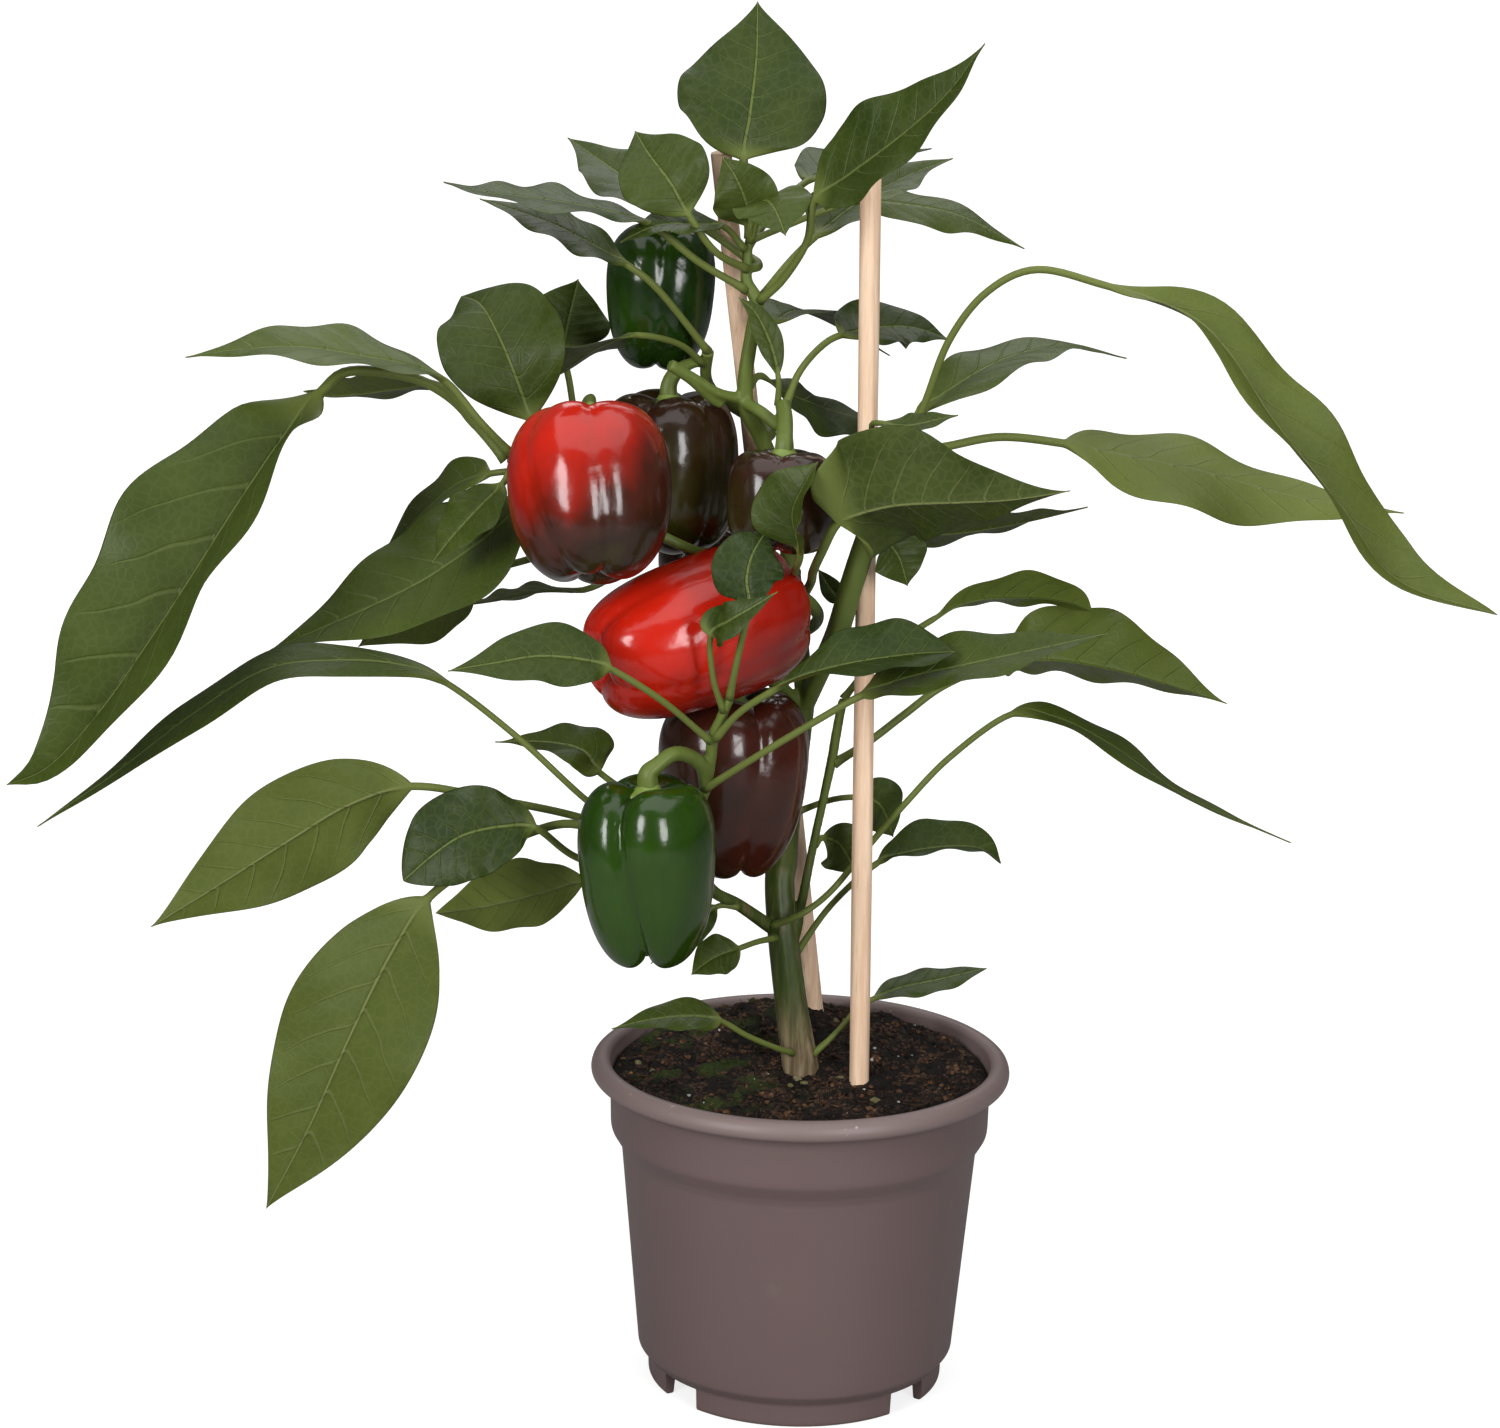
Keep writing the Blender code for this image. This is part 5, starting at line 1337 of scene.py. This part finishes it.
pot_plastic = g.finish(
    Base_Color=colour,
    Roughness=0.46 + (cloud - 0.5) * 0.10 + dust * 0.08,
    Normal=g.bump(skin, 0.0007, 0.35),
)
make_piece("pot_shell", pot_mesh, [pot_plastic], "pot", ("pot",))
print("pot material:", pot_plastic.name)

# %% [markdown]
# ## Soil
#
# Potting soil is a dark, crumbly mix of peat, bark and roots. One bumpy sheet would
# look like cloth, so the sheet is strewn with many small angular crumbs, flakes of
# bark, some fibres, a few stones, and a few white grains of perlite. The ground
# itself rises towards the back of the pot and has a small heap there.

# %% The soil's surface
SOIL_RADIUS, SOIL_EDGE, SOIL_TILT, SOIL_BACK = 75.7, 127.0, 5.0, 6.5
SOIL_HEAP = (-20.0, 48.0, 8.0, 15.8)  # the heap's x, y, height and spread
SOIL_DEPTH, SOIL_RINGS, SOIL_COLUMNS = 12, 90, 240


def soil_level(x, y):
    """Height of the smooth ground: an edge that rises to the back, plus a heap."""
    heap_x, heap_y, heap_height, spread = SOIL_HEAP
    inside = 1 - np.clip((x**2 + y**2) / SOIL_RADIUS**2, 0, 1) ** 2
    edge = SOIL_EDGE + SOIL_TILT * np.clip((y + 20) / 95, 0, 1)
    back = SOIL_BACK * np.clip(y / 50, 0, 1) ** 2
    heap = heap_height * np.exp(-((x - heap_x) ** 2 + (y - heap_y) ** 2) / (2 * spread**2))
    return edge + inside * (1.0 + back + heap)


def lattice_noise(x, y, size, seed):
    """Numbers between -1 and 1 that change smoothly over cells of a size in mm."""
    grid = np.random.default_rng(seed).uniform(-1, 1, (256, 256))
    gx, gy = x / size + 100, y / size + 100
    ix, iy = np.floor(gx).astype(int), np.floor(gy).astype(int)
    fx, fy = soft_step(gx - ix, 0, 1), soft_step(gy - iy, 0, 1)
    low = grid[ix, iy] * (1 - fx) + grid[ix + 1, iy] * fx
    high = grid[ix, iy + 1] * (1 - fx) + grid[ix + 1, iy + 1] * fx
    return low * (1 - fy) + high * fy


def soil_bumps(x, y):
    """The crumbly relief: three sizes of noise added up, in mm."""
    coarse = 1.8 * lattice_noise(x, y, 9.0, 1)
    middle = 1.5 * np.abs(lattice_noise(x, y, 3.5, 2))
    return coarse + middle + 0.45 * lattice_noise(x, y, 1.5, 3)


ring = SOIL_RADIUS * np.sqrt(np.linspace(0.0005, 1, SOIL_RINGS))[:, None]
angle = 2 * np.pi * np.arange(SOIL_COLUMNS)[None, :] / SOIL_COLUMNS
x, y = ring * np.cos(angle), ring * np.sin(angle)
z = soil_level(x, y) + soil_bumps(x, y) * soft_step(SOIL_RADIUS - ring, -1, 4)
top = np.stack([x, y, z], axis=-1)
lowest = (0, 0, SOIL_EDGE - SOIL_DEPTH)
under = top[::-30] * (1, 1, 0) + lowest
body = close_grid(np.concatenate([top, under]), top[0].mean(axis=0), lowest)
soil_mesh = make_mesh("soil_ground", *body)
print("soil faces:", len(soil_mesh.polygons))

# %% [markdown]
# The crumbs, the flakes of bark and the grains of perlite come from one function: a
# twenty-sided ball, repeated as one array, whose corners are pushed in or out at
# random, so that each costs very few faces. They differ in number, size and colour.
# Thin green films of algae grow on one side of the soil.

# %% Crumbs, bark and perlite
GOLD = (1 + 5**0.5) / 2
LUMP = unit([
    (-1, GOLD, 0), (1, GOLD, 0), (-1, -GOLD, 0), (1, -GOLD, 0), (0, -1, GOLD), (0, 1, GOLD),
    (0, -1, -GOLD), (0, 1, -GOLD), (GOLD, 0, -1), (GOLD, 0, 1), (-GOLD, 0, -1), (-GOLD, 0, 1),
])
LUMP_FACES = np.array([
    (0, 11, 5), (0, 5, 1), (0, 1, 7), (0, 7, 10), (0, 10, 11), (1, 5, 9), (5, 11, 4), (11, 10, 2),
    (10, 7, 6), (7, 1, 8), (3, 9, 4), (3, 4, 2), (3, 2, 6), (3, 6, 8), (3, 8, 9), (4, 9, 5),
    (2, 4, 11), (6, 2, 10), (8, 6, 7), (9, 8, 1),
])


def strewn(count, rng, reach=SOIL_RADIUS - 2):
    """Random places on the ground, evenly spread over a disc."""
    radius, turn = reach * np.sqrt(rng.uniform(0.01, 1, count)), rng.uniform(0, 2 * np.pi, count)
    x, y = radius * np.cos(turn), radius * np.sin(turn)
    return np.stack([x, y, soil_level(x, y) + soil_bumps(x, y)], axis=1)


def crumbs(places, low, high, rng, flat=0.7):
    """Lumps at places: a twenty-sided ball with each corner pushed in or out at random."""
    sizes = rng.uniform(low, high, len(places))
    stretch = rng.uniform(0.6, 1.3, (len(places), 1, 3)) * (1, 1, flat)
    shape = LUMP[None] * rng.uniform(0.65, 1.25, (len(places), 12, 1)) * stretch
    points = places[:, None] + shape * sizes[:, None, None]
    faces = LUMP_FACES[None] + 12 * np.arange(len(places))[:, None, None]
    shade = np.repeat(rng.uniform(0, 1, len(places)), 12)
    return points.reshape(-1, 3), faces.reshape(-1, 3), shade


def strew(name, places, low, high, seed, material, flat=0.7):
    """A piece made of lumps that each have a shade of their own."""
    points, faces, shade = crumbs(places, low, high, np.random.default_rng(seed), flat)
    mesh = make_mesh(name, points, np.zeros((0, 4), int), faces, {"shade": shade})
    mesh.shade_flat()
    return make_piece(name, mesh, [material], "soil")


ALGAE_GREEN = (0.030, 0.052, 0.006)


def soil_material(name, dark, light, rough, algae=0.0):
    """Crumbly matter: noise of two sizes mixes a dark and a light colour, with green films."""
    g = Graph(name)
    shade = g.attribute("shade")
    grains = g.noise(700.0, 4.0, 0.7)
    patches = g.noise(90.0, 3.0)
    amount = grains.smooth(0.42, 0.66) * 0.55 + patches.smooth(0.42, 0.62) * 0.35
    amount = (amount * amount * 1.3 + (shade - 0.4) * 0.5).clamp()
    colour = g.mix(amount, dark, light)
    side = g.coordinate(0) * -1.0
    film = g.noise(75.0, 4.0).smooth(0.50, 0.66) * side.smooth(-0.015, 0.035) * algae
    colour = g.mix(film * 0.75, colour, ALGAE_GREEN)
    return g.finish(
        Base_Color=colour, Roughness=rough, Normal=g.bump(grains, 0.0014, 0.9), Specular_IOR_Level=0.25
    )


SOIL_DARK, SOIL_LIGHT = (0.005, 0.003, 0.002), (0.110, 0.058, 0.034)
BARK_DARK, BARK_LIGHT = (0.040, 0.018, 0.009), (0.230, 0.115, 0.052)
PERLITE_DARK, PERLITE_LIGHT = (0.35, 0.33, 0.30), (0.75, 0.73, 0.70)
soil_dark = soil_material("soil", SOIL_DARK, SOIL_LIGHT, 0.92, 1.0)
bark_brown = soil_material("bark crumbs", BARK_DARK, BARK_LIGHT, 0.85)
perlite_white = soil_material("perlite", PERLITE_DARK, PERLITE_LIGHT, 0.8)
make_piece("soil_ground", soil_mesh, [soil_dark], "soil", ("soil",))
CRUMBS, BARKS, GRAINS = 1500, 420, 26
rng = np.random.default_rng(12)
strew("soil_crumbs", strewn(CRUMBS, rng), 0.5, 2.0, 21, soil_dark)
strew("soil_bark", strewn(BARKS, rng), 0.4, 1.7, 22, bark_brown)
strew("soil_perlite", strewn(GRAINS, rng), 0.3, 1.1, 23, perlite_white)
print("crumbs, bark and perlite:", CRUMBS, BARKS, GRAINS)

# %% [markdown]
# Some pale stones lie round the stem and the canes. They are larger lumps of the same
# kind, and each has a place of its own.

# %% A few stones near the stem
STONES = np.array([
    (2.0, -14), (-1, -11), (-4, -15), (16, -8), (14, 44), (18, 47), (-66, 4), (-60, -2), (30, -34),
])
STONE_DARK, STONE_LIGHT = (0.140, 0.120, 0.050), (0.300, 0.270, 0.160)
stone_pale = soil_material("stone", STONE_DARK, STONE_LIGHT, 0.8)
x, y = STONES.T
places = np.stack([x, y, soil_level(x, y) + soil_bumps(x, y) + 0.4], axis=1)
strew("soil_stones", places, 1.2, 2.4, 24, stone_pale)
print("stones:", len(STONES))

# %% [markdown]
# Roots and bits of peat lie about as short bent fibres. Each is a four-sided tube
# along a small arc.

# %% Fibres
def fibre(place, rng):
    """A thin tube along an arc that lies on the ground and ends a little raised."""
    turn, length = rng.uniform(0, 2 * np.pi), rng.uniform(3, 11)
    t = np.linspace(-0.5, 0.5, 5)[:, None]
    along = np.array([np.cos(turn), np.sin(turn), 0.0])
    across = np.array([-np.sin(turn), np.cos(turn), 0.0])
    bend = rng.uniform(-0.3, 0.3) * length
    lift = (0, 0, 0.3) + 2 * t**2 * np.array([0, 0, 1.0])
    route = place + t * length * along + bend * t**2 * across + lift
    return tube(route, np.full(5, rng.uniform(0.15, 0.4)), 4)


FIBRES = 130
rng = np.random.default_rng(31)
fibres = join([fibre(place, rng) for place in strewn(FIBRES, rng, SOIL_RADIUS - 8)])
make_piece("soil_fibres", make_mesh("soil_fibres", *fibres), [bark_brown], "soil")
print("fibres:", FIBRES)

# %% [markdown]
# ## Canes
#
# The plant is held by two round wooden canes of pale wood. Their grain is noise
# drawn out along the cane, with a few darker lines, and the surface is a little
# uneven, as split and rounded sticks are.

# %% Make the canes
CANE_RADIUS, CANE_SUNK, CANE_SIDES = 4.0, 8, 28  # radius and depth in the soil in mm
CANES = {"cane_front": ((20, 6, 492), (24, -11, 127)), "cane_back": ((-38, 8, 499), (5, 52, 142))}


def cane_body(top, ground, seed):
    """A closed rod with a slightly wavering radius and a small bevel at its top."""
    rng = np.random.default_rng(seed)
    top, ground = np.array(top, float), np.array(ground, float)
    foot = ground + CANE_SUNK * unit(ground - top)
    share = np.r_[0, np.linspace(0.002, 0.998, 50), 1][:, None]
    centre = foot + share * (top - foot)
    theta = 2 * np.pi * np.arange(CANE_SIDES)[None, :] / CANE_SIDES
    waver = 0.12 * np.cos(theta * 2 + 9 * share + rng.uniform(0, 6)) + 0.07 * np.cos(5 * theta + 4 * share)
    radius = CANE_RADIUS * np.where(share > 0.999, 0.93, 1.0) + waver
    u = unit(np.cross(top - foot, (0, 1, 0)))
    v = unit(np.cross(top - foot, u))
    around = spokes(theta, u, v)
    rings = centre[:, None] + radius[..., None] * around
    return close_grid(rings, centre[0], centre[-1])


CANE_PALE, CANE_TAN = (0.86, 0.64, 0.46), (0.70, 0.47, 0.31)
CANE_LINE, CANE_CLOUD = (0.46, 0.27, 0.16), (0.72, 0.46, 0.30)
g = Graph("cane wood")
grain = g.noise(420.0, 4.0, 0.6, g.stretch(g.place(), (1.0, 1.0, 0.035)))
lines = g.noise(900.0, 2.0, 0.5, g.stretch(g.place(), (1.0, 1.0, 0.02)))
cloud = g.noise(18.0, 3.0)
colour = g.mix(grain.smooth(0.3, 0.7), CANE_PALE, CANE_TAN)
colour = g.mix(lines.smooth(0.60, 0.72) * 0.5, colour, CANE_LINE)
colour = g.mix(cloud.smooth(0.45, 0.75) * 0.3, colour, CANE_CLOUD)
cane_wood = g.finish(
    Base_Color=colour, Roughness=0.62, Normal=g.bump(grain * 0.7 + lines * 0.5, 0.0005, 0.6)
)
for number, (name, ends) in enumerate(CANES.items()):
    mesh = make_mesh(name + "_rod", *cane_body(*ends, number))
    mesh.set_sharp_from_angle(angle=SHARP_ANGLE)
    make_piece(name + "_rod", mesh, [cane_wood], "cane", (name,))
print("canes:", len(CANES))

# %% [markdown]
# ## Floor and light
#
# The plant stands on a plain white floor in soft studio light. Two tall soft boxes,
# left and right of the camera, draw the long highlights on the fruits. A large one
# hangs over the plant, and a weak one behind it lights the edges. The floor
# glows a little for the camera alone, so it looks white without more light on the
# plant, and it still takes the plant's shadow.

# %% Floor
FLOOR = 40.0  # half its side, in metres
FLOOR_GREY, WHITE = (0.34, 0.34, 0.34, 1), (1, 1, 1, 1)
corners = [(-FLOOR, -FLOOR, 0), (FLOOR, -FLOOR, 0), (FLOOR, FLOOR, 0), (-FLOOR, FLOOR, 0)]
floor_mesh = bpy.data.meshes.new("floor")
floor_mesh.from_pydata(corners, [], [(0, 1, 2, 3)])
g = Graph("floor")
seen = g.node("ShaderNodeLightPath", output="Is Camera Ray")
through = g.node("ShaderNodeLightPath", output="Is Transmission Ray")
x = g.coordinate(0)
y = g.coordinate(1)
distance = (x * x + y * y) ** 0.5
glow = (seen + through).clamp() * (0.80 + distance.smooth(0.2, 1.6) * 0.30)
diffuse = g.node("ShaderNodeBsdfDiffuse", None, {"Color": FLOOR_GREY})
light = g.node("ShaderNodeEmission", None, {"Color": WHITE, "Strength": glow})
both = g.node("ShaderNodeAddShader", None, [diffuse, light])
g.node("ShaderNodeOutputMaterial", None, {"Surface": both})
floor_mesh.materials.append(g.material)
floor = add_object("floor", floor_mesh)
print("floor side, m:", 2 * FLOOR)

# %% [markdown]
# A lamp with a large face throws soft shadows, and a glossy skin mirrors it as a soft
# rectangle. So each soft box is a rectangle that faces the middle of the plant. The
# world is white for the camera and dim for everything else.

# %% Lights
WORLD_LIGHT = 0.13  # for everything but the camera, which sees it as white
world = bpy.data.worlds.new("studio")
bpy.context.scene.world = world
g = Graph("studio", world)
seen = g.node("ShaderNodeLightPath", output="Is Camera Ray")
strength = seen * (1 - WORLD_LIGHT) + WORLD_LIGHT
sky = g.node("ShaderNodeBackground", None, {"Color": WHITE, "Strength": strength})
g.node("ShaderNodeOutputWorld", None, {"Surface": sky})


def soft_box(name, place, target, width, height, power):
    """A rectangular lamp at a place, turned to a target, both in metres."""
    lamp = bpy.data.lights.new(name, "AREA")
    lamp.shape, lamp.size, lamp.size_y, lamp.energy = "RECTANGLE", width, height, power
    back = unit(np.subtract(place, target))
    level = unit(np.cross((0, 0, 1), back))
    box = add_object(name, lamp)
    box.matrix_world = axes_matrix(level, np.cross(back, level), back, place)


MIDDLE = (0.0, 0.0, 0.30)
LAMPS = {  # place, width and height in metres, and power in watts
    "left soft box": ((-0.95, -1.35, 0.85), 0.50, 0.9, 19.5),
    "right soft box": ((0.80, -1.45, 0.75), 0.45, 0.9, 16),
    "top soft box": ((0.0, -0.2, 1.7), 2.2, 1.8, 20),
    "back soft box": ((0.1, 1.3, 1.6), 1.4, 0.7, 8),
}
for name, (place, width, height, power) in LAMPS.items():
    soft_box(name, place, MIDDLE, width, height, power)
print("lamps:", len(LAMPS))
